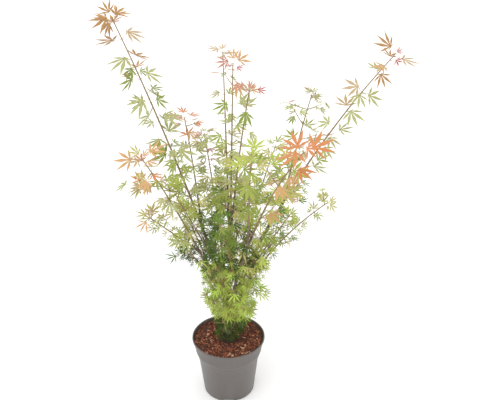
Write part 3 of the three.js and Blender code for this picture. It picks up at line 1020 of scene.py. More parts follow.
    def form_of(self, blade: Blade, tint: Tint, draw: Draws) -> Form:
        """Chooses the form of a leaf.

        Args:
            blade: Place of the leaf.
            tint: Its colour.
            draw: Stream of the place.

        Returns:
            The form.
        """
        if tint in self.YOUNG_TINTS and draw() < TONES.young_chance:
            return Form.YOUNG
        if level(blade.heart) < TONES.slender_below and draw() < TONES.slender_chance:
            return Form.SLENDER
        if blade.forward.z < TONES.hanging_slope:
            return Form.DROOPING if draw() < TONES.drooping_chance else Form.HANGING
        return self.LEVEL_FORMS[int(draw() * TONES.flat_forms)]


@dataclass(frozen=True)
class Sprout:
    """Where a leaf or a twig leaves the wood that holds it, at a share of its shoot's length."""

    root: Vector
    direction: Vector
    share: float
    wood: Solid


@dataclass(frozen=True)
class Twig:
    """A side twig that was kept."""

    sprout: Sprout
    length: float
    wood: Solid


class Spray:
    """The leafy stem of one shoot, with all that grows on it."""

    def __init__(self, crown: Crown, shoot: Shoot) -> None:
        """Spaces the nodes of the stem.

        Args:
            crown: The plant that keeps the leaves and twigs.
            shoot: The shoot whose stem this is.
        """
        self.crown = crown
        self.space = crown.space
        self.shoot = shoot
        self.line = shoot.line
        gap = GROWTH.fork_gap + GROWTH.stem_gap
        self.start = shoot.bare + gap / self.line.length if shoot.bare else 0.0
        self.nodes = max(2, round(self.line.length * (1 - self.start) / shoot.step))
        self.wood: Solid | None = None
        self.twigs: list[Twig] = []

    def share(self, node: float) -> float:
        """Returns the share of the line at which a node sits."""
        return mix(self.start, 1, node / self.nodes)

    def turn(self, node: float) -> float:
        """Returns the angle of a node round the stem."""
        return math.radians(SPRAY.shoot_turn * self.shoot.index - SPRAY.node_turn * node)

    def hold_place(self) -> None:
        """Takes the stem's own space and keeps its strand."""
        shares = [self.share(self.nodes * i / SAMPLES) for i in range(SAMPLES + 1)]
        points = [self.line.at(share) for share in shares]
        girths = [self.shoot.radius(share) for share in shares]
        self.wood = self.space.take(tube_solid(points, girths))
        self.crown.stems.append(Strand(tuple(points), tuple(girths)))

    def leaf(self, sprout: Sprout, size: float, draw: Draws) -> None:
        """Keeps a leaf if it has room and touches nothing, or else a smaller one.

        Args:
            sprout: Where it grows.
            size: Length of its middle lobe.
            draw: Stream of the place.
        """
        rolls = [draw() for _ in range(4)]
        look = Draws(self.shoot.index, *(int(SPRAY.key_steps * key) for key in (sprout.share, rolls[0])))
        bend = SPRAY.tip_bend if sprout.share == 1 else 1
        for scale in SPRAY.leaf_scales:
            blade = Blade.placed(sprout.root, sprout.direction, size * scale, rolls, bend)
            solid = self.fitted(blade, sprout)
            if solid is not None:
                self.space.take(solid)
                self.dress(blade, sprout, look)
                return

    def fitted(self, blade: Blade, sprout: Sprout) -> Solid | None:
        """Tries a leaf in its place.

        Args:
            blade: Place of the leaf.
            sprout: Where it grows.

        Returns:
            The leaf and its stalk as a solid, or None where it has no room or touches something.
        """
        outline = blade.outline()
        tips = outline[1::2]
        middles = [(tip + blade.heart) / 2 for tip in tips]
        stalk = sprout.root.lerp(blade.heart, SPRAY.stalk_point)
        if not self.space.has_room(self.shoot.index, [blade.heart, stalk, *tips, *middles]):
            return None
        lift = blade.normal * GROWTH.blade_gap / 2
        ring = len(outline)
        points = [*outline, blade.heart + lift, blade.heart - lift, sprout.root]
        faces = [(ring, i, (i + 1) % ring) for i in range(ring)]
        faces += [(ring + 1, (i + 1) % ring, i) for i in range(ring)]
        body = Solid.made(points[:-1], faces)
        whole = Solid.made(points, [*faces, (ring, ring + 1, ring + 2)])
        if body.tree.overlap(sprout.wood.tree) or self.space.is_blocked(whole, sprout.wood):
            return None
        return whole

    def dress(self, blade: Blade, sprout: Sprout, look: Draws) -> None:
        """Gives a leaf that fits its tint, its form and its stalk.

        Args:
            blade: Place of the leaf.
            sprout: Where it grows.
            look: Stream of its looks.
        """
        tint = self.crown.palette_at(blade.heart, self.shoot.palette, look).pick(sprout.share, look)
        if tint is Tint.CRIMSON:
            blade = replace(blade, size=blade.size * SPRAY.crimson_scale)
        self.crown.leaves.append(Leaf(blade, tint, self.crown.form_of(blade, tint, look)))
        middle = sprout.root.lerp(blade.heart, 0.5) + Vector((0, 0, SPRAY.stalk_sag * blade.size))
        points = (sprout.root - sprout.direction, middle, blade.heart - blade.normal * SPRAY.stalk_end)
        girth = GROWTH.stalk_girth
        self.crown.stalks.append(Strand(points, (girth * SPRAY.stalk_root, girth, girth)))

    def twig(self, sprout: Sprout, length: float, size: float, draw: Draws) -> None:
        """Grows a side twig with leaves below its end and one on it, or one leaf where it has no room.

        Args:
            sprout: Where it grows.
            length: Its length.
            size: Size of its leaves.
            draw: Stream of the place.
        """
        end = sprout.root + sprout.direction * length
        middle = sprout.root.lerp(end, 0.5)
        girth = GROWTH.twig_girth + GROWTH.seam
        solid = tube_solid([sprout.root, end], [girth, girth], SPRAY.twig_sides)
        has_room = self.space.has_room(self.shoot.index, [middle, end])
        if not has_room or self.space.is_blocked(solid, self.wood):
            self.leaf(sprout, size, draw)
            return
        twig = Twig(sprout, length, self.space.take(solid))
        self.twigs.append(twig)
        girths = [GROWTH.twig_girth * share for share in (SPRAY.twig_root, 1, SPRAY.twig_tip)]
        points = (sprout.root - sprout.direction, middle + Vector((0, 0, SPRAY.twig_sag * length)), end)
        self.crown.twigs.append(Strand(points, tuple(girths)))
        self.leaf(replace(sprout, root=end, wood=twig.wood), size, draw)
        self.whorl(twig, SPRAY.whorl_place, SPRAY.whorl_count, size * SPRAY.whorl_scale, draw)

    def whorl(
        self, twig: Twig, place: float, count: int, size: float, draw: Draws, turned: float = 0
    ) -> None:
        """Grows leaves round a twig.

        Args:
            twig: The twig.
            place: Share of the twig's length at which they sit.
            count: Number of leaves.
            size: Their size.
            draw: Stream of the place.
            turned: Angle by which they are turned round the twig.
        """
        along = twig.sprout.direction
        _, side, _ = self.line.frame(twig.sprout.share)
        side = (side - along * side.dot(along)).normalized()
        over = along.cross(side)
        spot = twig.sprout.root + along * twig.length * place
        for k in range(count):
            angle = turned + math.radians(SPRAY.whorl_turn) + math.tau * k / count
            out = side * math.cos(angle) + over * math.sin(angle)
            foot = spot + out * GROWTH.twig_girth * SPRAY.whorl_foot
            direction = (out + along * SPRAY.whorl_lean).normalized()
            self.leaf(Sprout(foot, direction, twig.sprout.share, twig.wood), size, draw)

    def pair(
        self, node: float, angles: Sequence[float], key: int, size: float, twigs: float, reach: float
    ) -> None:
        """Grows a leaf or a twig on each side of a node.

        Args:
            node: Place of the pair, in nodes.
            angles: Angles round the stem of both.
            key: Number of the pair's stream.
            size: Size of its leaves.
            twigs: Chance of a twig.
            reach: Length from which its twigs are worked out.
        """
        draw = Draws(self.shoot.index, key)
        share = self.share(node)
        spot = self.line.at(share)
        along, side, over = self.line.frame(share)
        risen = (level(spot) - GROWTH.small_below) / (GROWTH.large_above - GROWTH.small_below)
        size *= draw.over(SPRAY.leaf_spread) * mix(GROWTH.low_leaf, 1, clamp(risen, 0, 1))
        for base in angles:
            angle = base + SPRAY.sway * (draw() - 0.5)
            out = side * math.cos(angle) + over * math.sin(angle)
            root = spot + out * self.shoot.radius(share) * SPRAY.root_depth
            direction = (out + along * draw.over(SPRAY.lean_spread)).normalized()
            is_held = direction.z > SPRAY.twig_hang or root.z < GROWTH.full_below
            is_twig = draw() < twigs and node < self.nodes and is_held
            length = reach * draw.over(SPRAY.twig_length)
            sprout = Sprout(root, direction, share, self.wood)
            if is_twig:
                self.twig(sprout, length, size, draw)
            else:
                self.leaf(sprout, size, draw)

    def grow_first(self) -> None:
        """Grows the leaves and twigs that the part's source has."""
        shoot = self.shoot
        size = shoot.leaf * shoot.vigour
        for node in range(1, self.nodes + 1):
            angles = []
            for k in range(SPRAY.places):
                place = (k - node) % SPRAY.places
                if place < SPRAY.places - 1:
                    lean = SPRAY.place_lean if place else -SPRAY.place_lean
                    turn = SPRAY.first_place + SPRAY.place_turn * k + lean
                    angles.append(self.turn(node) + math.radians(turn))
            self.pair(node, angles, node, size, shoot.twigs, shoot.step)
        tip = Sprout(self.line.at(1), self.line.tangent(1), 1, self.wood)
        self.leaf(tip, size * SPRAY.tip_leaf, Draws(shoot.index, Stream.TIP))
        if shoot.bare:
            self.tuft(size)

    def tuft(self, size: float) -> None:
        """Grows the close leaves of a young tip.

        Args:
            size: Size of the shoot's leaves.
        """
        for ring, (back, lean, scale) in enumerate(SPRAY.tuft):
            share = 1 - back / self.line.length
            along, side, over = self.line.frame(share)
            for k in range(SPRAY.tuft_count):
                draw = Draws(self.shoot.index, Stream.TUFT + SPRAY.tuft_streams * ring + k)
                angle = math.pi * (k + SPRAY.tuft_turn * ring + SPRAY.tuft_sway * draw())
                out = side * math.cos(angle) + over * math.sin(angle)
                direction = (out + along * lean).normalized()
                if direction.z > SPRAY.tip_hang:
                    self.leaf(Sprout(self.line.at(share), direction, 1, self.wood), size * scale, draw)

    def grow_finer(self) -> None:
        """Grows smaller leaves between the first ones, on the stem and its twigs, fewer with height."""
        shoot = self.shoot
        size = shoot.leaf * SPRAY.finer_leaf
        reach = shoot.step * SPRAY.finer_reach
        offsets = SPRAY.offsets if shoot.bare else SPRAY.low_offsets
        chance = SPRAY.finer_twigs * shoot.twigs if shoot.bare else SPRAY.low_twigs
        for part, offset in enumerate(offsets):
            for node in range(self.nodes):
                key = Stream.FINER + SPRAY.finer_streams * part + node
                height = self.line.at(self.share(node + offset)).z
                if Draws(shoot.index, key, Stream.CHANCE)() > self.fullness(height):
                    continue
                turn = self.turn(node) + math.radians(SPRAY.finer_turn + SPRAY.round_turn * part)
                self.pair(node + offset, (turn, turn + math.pi), key, size, chance, reach)
        size = shoot.leaf * SPRAY.whorl_leaf
        for number, twig in enumerate(self.twigs):
            draw = Draws(shoot.index, Stream.WHORL + number)
            for place in SPRAY.whorl_places:
                if draw() < self.fullness(twig.sprout.root.z):
                    self.whorl(twig, place, SPRAY.finer_count, size, draw, draw() * math.tau)

    def fullness(self, height: float) -> float:
        """Returns the chance that a finer leaf grows at a height: all in the low column, few at the top."""
        thinned = (height - GROWTH.full_below) / (GROWTH.thin_above - GROWTH.full_below)
        return self.shoot.filling * clamp(mix(1, GROWTH.thinnest, thinned), GROWTH.thinnest, 1)


# Node trees. A value wraps one socket, and sums on values add their own nodes.


def summed(operation: str, is_turned: bool = False) -> Callable[["Value", "Value | float"], "Value"]:
    """Returns a method that adds a Math node for two values, turned round for the reflected forms."""

    def method(value: "Value", other: "Value | float") -> "Value":
        """Returns the result of one Math node."""
        first, second = (other, value) if is_turned else (value, other)
        node = value.graph.node("ShaderNodeMath", {"operation": operation}, {0: first, 1: second})
        return Value(value.graph, node.outputs[0])

    return method


@dataclass
class Value:
    """A number that a socket of a node gives, on which plain sums work."""

    graph: "Graph"
    socket: NodeSocket

    __add__ = summed("ADD")
    __radd__ = summed("ADD", True)
    __sub__ = summed("SUBTRACT")
    __rsub__ = summed("SUBTRACT", True)
    __mul__ = summed("MULTIPLY")
    __rmul__ = summed("MULTIPLY", True)


@dataclass
class Graph:
    """Adds and links the nodes of one tree."""

    tree: NodeTree

    def node(
        self, kind: str, settings: dict[str, Any] | None = None, inputs: dict[Any, Any] | None = None
    ) -> Node:
        """Adds a node.

        Args:
            kind: Type of the node.
            settings: Properties to set first. `stops` gives the places and colours of a ramp.
            inputs: Values or links of its input sockets, by name or number.

        Returns:
            The node.
        """
        node = self.tree.nodes.new(kind)
        for name, value in (settings or {}).items():
            if name == "stops":
                self._set_stops(node.color_ramp, value)
            else:
                setattr(node, name, value)
        for name, value in (inputs or {}).items():
            self.feed(node.inputs[name], value)
        return node

    def feed(self, socket: NodeSocket, value: Any) -> None:
        """Links or sets one input socket."""
        source = value.socket if isinstance(value, Value) else value
        if isinstance(source, NodeSocket):
            self.tree.links.new(source, socket)
        else:
            socket.default_value = source

    def value(self, kind: str, output: str, inputs: dict[str, Any]) -> Value:
        """Adds a node and returns one of its outputs as a value."""
        return Value(self, self.node(kind, {}, inputs).outputs[output])

    @staticmethod
    def _set_stops(ramp: ColorRamp, stops: Sequence[tuple[float, Sequence[float]]]) -> None:
        """Gives a colour ramp its stops, in rising order."""
        while len(ramp.elements) < len(stops):
            ramp.elements.new(1)
        for element, (place, colour) in zip(ramp.elements, stops):
            element.position = place
            element.color = colour


class Finish:
    """A material with one Principled shader, whose surface may vary in colour, roughness and relief."""

    def __init__(self, name: str, colour: str, roughness: float, **constants: float) -> None:
        """Starts the material.

        Args:
            name: Name of the material.
            colour: Its base colour as a display code.
            roughness: Its roughness.
            constants: Further sockets of the shader that are the same all over, with _ for spaces.
        """
        self.material = bpy.data.materials.new(name)
        self.material.use_nodes = True
        self.graph = Graph(self.material.node_tree)
        self.shader = self.material.node_tree.nodes["Principled BSDF"]
        self.shader.inputs["Base Color"].default_value = linear(colour)
        self.shader.inputs["Roughness"].default_value = roughness
        for key, value in constants.items():
            self.shader.inputs[key.replace("_", " ").title().replace("Ior", "IOR")].default_value = value
        self.material.diffuse_color = linear(colour)

    def spot(self, stretch: Sequence[float] = (1, 1, 1)) -> NodeSocket:
        """Returns object coordinates, stretched along the axes."""
        place = self.graph.node("ShaderNodeTexCoord").outputs["Object"]
        mapping = self.graph.node("ShaderNodeMapping", {}, {"Vector": place, "Scale": tuple(stretch)})
        return mapping.outputs[0]

    def noise(self, scale: float, detail: float = 2, stretch: Sequence[float] = (1, 1, 1)) -> Value:
        """Returns a noise value at a scale per metre, stretched along the axes."""
        inputs = {"Vector": self.spot(stretch), "Scale": scale, "Detail": detail}
        return self.graph.value("ShaderNodeTexNoise", "Fac", inputs)

    def ramp(self, value: Value, stops: Sequence[tuple[float, str]]) -> NodeSocket:
        """Returns the colour of a ramp at a value."""
        places = [(place, linear(colour)) for place, colour in stops]
        return self.graph.node("ShaderNodeValToRGB", {"stops": places}, {"Fac": value}).outputs["Color"]

    def link(self, label: str, value: Value | NodeSocket) -> None:
        """Links a value to an input of the shader."""
        self.graph.feed(self.shader.inputs[label], value)

    def emboss(self, height: Value, depth: float, strength: float = 1) -> None:
        """Gives the surface a relief of a depth in metres."""
        inputs = {"Height": height, "Distance": depth, "Strength": strength}
        bump = self.graph.node("ShaderNodeBump", {}, inputs)
        self.link("Normal", bump.outputs["Normal"])


def pot_finish() -> Material:
    """Returns taupe injection-moulded plastic with a satin skin, faint flow marks and rubbed patches."""
    finish = Finish("pot_plastic", "625e5c", roughness=0.42, specular_ior_level=0.9)
    flow = finish.noise(scale=28, detail=3, stretch=(1, 1, 0.2))
    grain = finish.noise(scale=900)
    scuff = finish.noise(scale=70, detail=4)
    stops = [(0.3, "504945"), (0.52, "56504c"), (0.72, "5e5854")]
    finish.link("Base Color", finish.ramp(flow * 0.5 + scuff * 0.5, stops))
    finish.link("Roughness", 0.3 + scuff * 0.22 + grain * 0.06)
    finish.emboss(grain * 0.6 + flow * 0.8, depth=0.0002, strength=0.5)
    return finish.material


def mulch_finish() -> Material:
    """Returns dark moist compost between the bark chips."""
    finish = Finish("mulch_bed", "3a2016", roughness=0.95)
    crumbs = finish.noise(scale=420, detail=4)
    finish.link("Base Color", finish.ramp(crumbs, [(0.3, "24130c"), (0.5, "4a2a1c"), (0.68, "7a4a32")]))
    finish.emboss(crumbs, depth=0.0015, strength=0.9)
    return finish.material


def chip_finish(name: str, dark: str, plain: str, pale: str) -> Material:
    """Makes the finish of one lot of bark chips.

    Args:
        name: Name of the material.
        dark: Colour of its pores.
        plain: Its usual colour.
        pale: Colour of its ridges.

    Returns:
        The material.
    """
    finish = Finish(name, plain, roughness=0.85)
    fibre = finish.noise(scale=240, detail=4, stretch=(1, 1, 2.4))
    finish.link("Base Color", finish.ramp(fibre, [(0.34, dark), (0.5, plain), (0.68, pale)]))
    finish.emboss(fibre, depth=0.0008, strength=0.8)
    return finish.material


def bark_finish() -> Material:
    """Returns smooth young bark with pale streaks along the limb, darkened by painted shade near the soil."""
    finish = Finish("bark", "7a624a", roughness=0.74)
    streak = finish.noise(scale=160, detail=4, stretch=(1, 1, 0.16))
    patch = finish.noise(scale=36)
    # Painted shade: the bark darkens towards the soil, fully at 1 cm above it and not at all from 6 cm up.
    height = finish.graph.value("ShaderNodeSeparateXYZ", "Z", {"Vector": finish.spot()})
    soil = SOIL.level * MM
    darkest_shade_at, shade_gone_at, darkening = soil + 0.01, soil + 0.06, 0.4
    rise = {"Value": height, "From Min": darkest_shade_at, "From Max": shade_gone_at, "To Min": darkening, "To Max": 0.0}
    painted_foot_shade = finish.graph.value("ShaderNodeMapRange", "Result", rise)
    stops = [(0.1, "2b1a11"), (0.3, "40352b"), (0.48, "655849"), (0.6, "7c6f60"), (0.74, "978c7d")]
    finish.link("Base Color", finish.ramp(streak * 0.65 + patch * 0.35 - painted_foot_shade, stops))
    finish.link("Roughness", 0.62 + streak * 0.25)
    finish.emboss(streak, depth=0.0006, strength=0.6)
    return finish.material


def plain_finish(name: str, colour: str, roughness: float, **constants: float) -> Material:
    """Returns a plain colour with a faint even grain, for small joined pieces."""
    finish = Finish(name, colour, roughness, **constants)
    finish.emboss(finish.noise(scale=1400), depth=0.0001, strength=0.35)
    return finish.material


# Meshes, and the trees that set many small shapes.


def ring(radius: float, sides: int) -> list[tuple[float, float]]:
    """Returns the places of points round the axis."""
    angles = [math.tau * k / sides for k in range(sides)]
    return [(radius * math.cos(angle), radius * math.sin(angle)) for angle in angles]


def mesh_object(
    name: str,
    points: Sequence[Sequence[float]],
    faces: Sequence[Face],
    edges: Sequence[Face] = (),
    scale: float = MM,
) -> Object:
    """Makes an object at the origin.

    Args:
        name: Name of the object.
        points: Its points, in millimetres unless another scale is given.
        faces: Corner numbers of its faces.
        edges: Point numbers of loose edges.
        scale: Metres to one unit of the points.

    Returns:
        The object, linked to the scene.
    """
    mesh = bpy.data.meshes.new(name)
    mesh.from_pydata([tuple(c * scale for c in point) for point in points], [tuple(e) for e in edges], faces)
    mesh.update()
    piece = bpy.data.objects.new(name, mesh)
    bpy.context.scene.collection.objects.link(piece)
    return piece


def mark(piece: Object, name: str, kind: str, values: Sequence[float], field: str = "value") -> None:
    """Gives the points of a piece a named attribute."""
    attribute = piece.data.attributes.new(name, kind, "POINT")
    attribute.data.foreach_set(field, values)


def smooth(piece: Object, angle: float) -> None:
    """Shades a piece smooth, with sharp edges where its faces turn by more than an angle in degrees."""
    piece.data.shade_smooth()
    piece.data.set_sharp_from_angle(angle=math.radians(angle))


def apply_modifiers(piece: Object) -> None:
    """Turns a piece and its modifiers into a plain mesh."""
    depsgraph = bpy.context.evaluated_depsgraph_get()
    depsgraph.update()
    old = piece.data
    mesh = bpy.data.meshes.new_from_object(piece.evaluated_get(depsgraph), depsgraph=depsgraph)
    mesh.name = old.name
    piece.modifiers.clear()
    piece.data = mesh
    bpy.data.meshes.remove(old)


def finish_piece(piece: Object, material: Material, nodes: Iterable[str]) -> None:
    """Dresses a piece and ties it to the frame.

    Args:
        piece: The finished piece.
        material: Its material.
        nodes: Solids that it stands for.
    """
    piece.data.materials.clear()
    piece.data.materials.append(material)
    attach(piece, BODY)
    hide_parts(*nodes)
    piece.data.calc_loop_triangles()
    LOG.info("%s: %d triangles", piece.name, len(piece.data.loop_triangles))


class GeometryTree:
    """A Geometry Nodes tree with named inputs, and the objects that use it."""

    def __init__(self, name: str, inputs: dict[str, str]) -> None:
        """Makes the tree with its sockets.

        Args:
            name: Name of the tree.
            inputs: Kind of each named input after the geometry.
        """
        self.tree = bpy.data.node_groups.new(name, "GeometryNodeTree")
        self.graph = Graph(self.tree)
        face = self.tree.interface
        face.new_socket("Geometry", in_out="INPUT", socket_type="NodeSocketGeometry")
        self.identifiers = {}
        for label, kind in inputs.items():
            socket = face.new_socket(label, in_out="INPUT", socket_type=f"NodeSocket{kind}")
            self.identifiers[label] = socket.identifier
        face.new_socket("Geometry", in_out="OUTPUT", socket_type="NodeSocketGeometry")
        self.entry = self.graph.node("NodeGroupInput")

    def named(self, name: str, kind: str) -> NodeSocket:
        """Returns the socket that reads a named attribute of a kind."""
        node = self.graph.node("GeometryNodeInputNamedAttribute", {"data_type": kind}, {"Name": name})
        return node.outputs["Attribute"]

    def end(self, geometry: NodeSocket) -> None:
        """Realizes the geometry, gives it the input material and leads it out."""
        real = self.graph.node("GeometryNodeRealizeInstances", {}, {"Geometry": geometry})
        inputs = {"Geometry": real.outputs[0], "Material": self.entry.outputs["Finish"]}
        dressed = self.graph.node("GeometryNodeSetMaterial", {}, inputs)
        self.graph.node("NodeGroupOutput", {}, {"Geometry": dressed.outputs[0]})

    def set_shapes(self, label: str, inputs: dict[str, Any]) -> None:
        """Sets shapes from the collection of a named input on points, and ends the tree."""
        shelf = {"Collection": self.entry.outputs[label], "Separate Children": True, "Reset Children": True}
        shapes = self.graph.node("GeometryNodeCollectionInfo", {}, shelf)
        inputs = {"Instance": shapes.outputs[0], "Pick Instance": True, **inputs}
        self.end(self.graph.node("GeometryNodeInstanceOnPoints", {}, inputs).outputs[0])

    def run(self, piece: Object, values: dict[str, Any]) -> None:
        """Runs the tree on an object and keeps the plain mesh.

        Args:
            piece: The object that carries the input geometry.
            values: Values of the named inputs.
        """
        modifier = piece.modifiers.new(self.tree.name, "NODES")
        modifier.node_group = self.tree
        for label, value in values.items():
            modifier[self.identifiers[label]] = value
        apply_modifiers(piece)


class ShapeShelf:
    """Holds small shapes in a collection for a tree, until they are cleared away."""

    def __init__(self, name: str) -> None:
        """Makes an empty shelf with a name."""
        self.collection = bpy.data.collections.new(name)

    def add(self, shape: Object) -> None:
        """Moves a shape from the scene to the shelf."""
        bpy.context.scene.collection.objects.unlink(shape)
        self.collection.objects.link(shape)

    def clear(self) -> None:
        """Removes the shelf and its shapes."""
        for shape in tuple(self.collection.objects):
            mesh = shape.data
            bpy.data.objects.remove(shape)
            bpy.data.meshes.remove(mesh)
        bpy.data.collections.remove(self.collection)


@dataclass
class NurseryPot:
    """The round pot: a thin wall with a collar, a rolled lip, a faint ring and drain notches.

    A pair of numbers is how far a bend's next point lies in from it, and how far above or below it.
    """

    sizes: PotSizes = POT
    sides: int = 144
    corner_steps: int = 4
    neck_run: float = 2
    shoulder_bend: tuple[float, float] = (0.9, 0.8)
    collar_bend: tuple[float, float] = (0.9, 1.2)
    collar_run: float = 3
    ring_height: float = 129
    ring_rises: Row = (-1.2, -0.4, 0.6)
    ring_relief: float = 0.5
    lip_bend: tuple[float, float] = (0.2, 0.7)
    lip_outside: tuple[tuple[float, float], ...] = ((0.25, 0.8), (0.9, 0))
    lip_inside: tuple[tuple[float, float], ...] = ((0.4, 0), (1, 0.8))
    floor_run: float = 3
    arch_from: float = 0.12
    arch_points: int = 13
    arch_power: float = 0.5
    cut_below: float = 2
    cut_beyond: float = 4
    sharp_from: float = 32

    def on_wall(self, height: float) -> tuple[float, float]:
        """Returns the point of the outer wall at a height."""
        return self.sizes.wall_radius(height), height

    def profile(self) -> list[tuple[float, float]]:
        """Returns the outline of the wall as radius and height, from the underside to the inner floor."""
        s = self.sizes
        collar_foot = s.height - s.collar_depth
        neck = s.height - s.shoulder_depth
        lip = s.height - 2 * s.lip
        outline = [(0.0, 0.0), (s.foot - s.corner, 0.0)]
        for k in range(1, self.corner_steps + 1):
            angle = math.radians(90 / self.corner_steps * k)
            outline.append((s.foot - s.corner * (1 - math.sin(angle)), s.corner * (1 - math.cos(angle))))
        inward, rise = self.shoulder_bend
        outline += [self.on_wall(neck - self.neck_run), (s.neck + inward, neck + rise)]
        outline += [(mix(s.neck, s.collar, 0.5), mix(neck, collar_foot, 0.5))]
        inward, drop = self.collar_bend
        outline += [(s.collar - inward, collar_foot - drop), (s.collar, collar_foot)]
        outline += [self.on_wall(collar_foot + self.collar_run)]
        for rise, relief in zip(self.ring_rises, (0, self.ring_relief, 0)):
            radius, height = self.on_wall(self.ring_height + rise)
            outline.append((radius + relief, height))
        inward, rise = self.lip_bend
        outline += [self.on_wall(lip), (s.rim - inward, lip + rise), (s.rim, s.height - s.lip)]
        outline += [(s.rim - inward, s.height - drop) for inward, drop in self.lip_outside]
        outline += [(s.rim - s.wall - inward, s.height - drop) for inward, drop in self.lip_inside]
        for height in (lip, collar_foot, neck, s.floor + self.floor_run, s.floor):
            outline.append((s.wall_radius(height) - s.wall, height))
        return [*outline, (0.0, s.floor)]

    def turned(self) -> Object:
        """Returns the profile turned round the axis, closed at both poles."""
        profile = self.profile()
        points = [(0.0, 0.0, profile[0][1])]
        for radius, height in profile[1:-1]:
            points += [(x, y, height) for x, y in ring(radius, self.sides)]
        points.append((0.0, 0.0, profile[-1][1]))
        faces = Rings(len(profile) - 2, self.sides, 1).closed(0, len(points) - 1)
        return mesh_object("nursery_pot_wall", points, faces)

    def drain_cutters(self) -> Object:
        """Returns the arched blocks that cut the drain notches through the foot."""
        s = self.sizes
        half = s.drain_width / 2
        arch = [(-half, -self.cut_below), (half, -self.cut_below)]
        for angle in np.linspace(self.arch_from, math.pi - self.arch_from, self.arch_points):
            arch.append((half * math.cos(angle), s.drain_height * math.sin(angle) ** self.arch_power))
        count = len(arch)
        points, faces = [], []
        for drain in range(s.drains):
            angle = math.tau * drain / s.drains - math.pi / 2
            out = Vector((math.cos(angle), math.sin(angle), 0))
            across = Vector((-out.y, out.x, 0))
            first = len(points)
            for depth in (s.foot - s.drain_depth, s.foot + self.cut_beyond):
                points += [tuple(out * depth + across * x + Vector((0, 0, z))) for x, z in arch]
            faces += [tuple(reversed(range(first, first + count))), tuple(range(first + count, len(points)))]
            faces += Rings(2, count, first).faces()
        return mesh_object("drain_cutters", points, faces)

    def build(self) -> None:
        """Builds and dresses the pot."""
        piece = self.turned()
        cutters = self.drain_cutters()
        cut = piece.modifiers.new("drains", "BOOLEAN")
        cut.operation = "DIFFERENCE"
        cut.solver = "EXACT"
        cut.object = cutters
        apply_modifiers(piece)
        bpy.data.objects.remove(cutters)
        smooth(piece, self.sharp_from)
        finish_piece(piece, pot_finish(), ["nursery_pot"])


@dataclass(frozen=True)
class Chip:
    """One shape of bark chip: an uneven slab that is widest in its middle layer.

    The tilts are shares of the depth by which the corners of a layer may stand out of line.
    """

    length: float
    width: float
    depth: float
    seed: int
    corners: int = 7
    reach: Spread = (0.8, 0.4)
    lower: float = 0.8
    upper: float = 0.7
    lower_tilt: float = 0.2
    middle_tilt: float = 0.3
    upper_tilt: float = 0.3

    def build(self, name: str) -> Object:
        """Returns the chip as an object with a name."""
        draw = Draws(self.seed)
        lower, middle, upper = [], [], []
        for k in range(self.corners):
            angle = math.tau * k / self.corners
            reach = draw.over(self.reach)
            x = self.length / 2 * math.cos(angle) * reach
            y = self.width / 2 * math.sin(angle) * reach
            under = -self.depth / 2 + self.lower_tilt * self.depth * draw()
            lower.append((x * self.lower, y * self.lower, under))
            middle.append((x, y, self.depth * self.middle_tilt * (draw() - 0.5)))
            over = self.depth / 2 - self.upper_tilt * self.depth * draw()
            upper.append((x * self.upper, y * self.upper, over))
        points = [*lower, *middle, *upper]
        ends = tuple(reversed(range(self.corners))), tuple(range(len(points) - self.corners, len(points)))
        return mesh_object(name, points, [ends[0], *Rings(3, self.corners).faces(), ends[1]])


@dataclass(frozen=True)
class ChipLot:
    """Chips of one colour: the tones of their bark, their number to a square metre and their seed."""

    name: str
    dark: str
    plain: str
    pale: str
    density: float
    seed: int


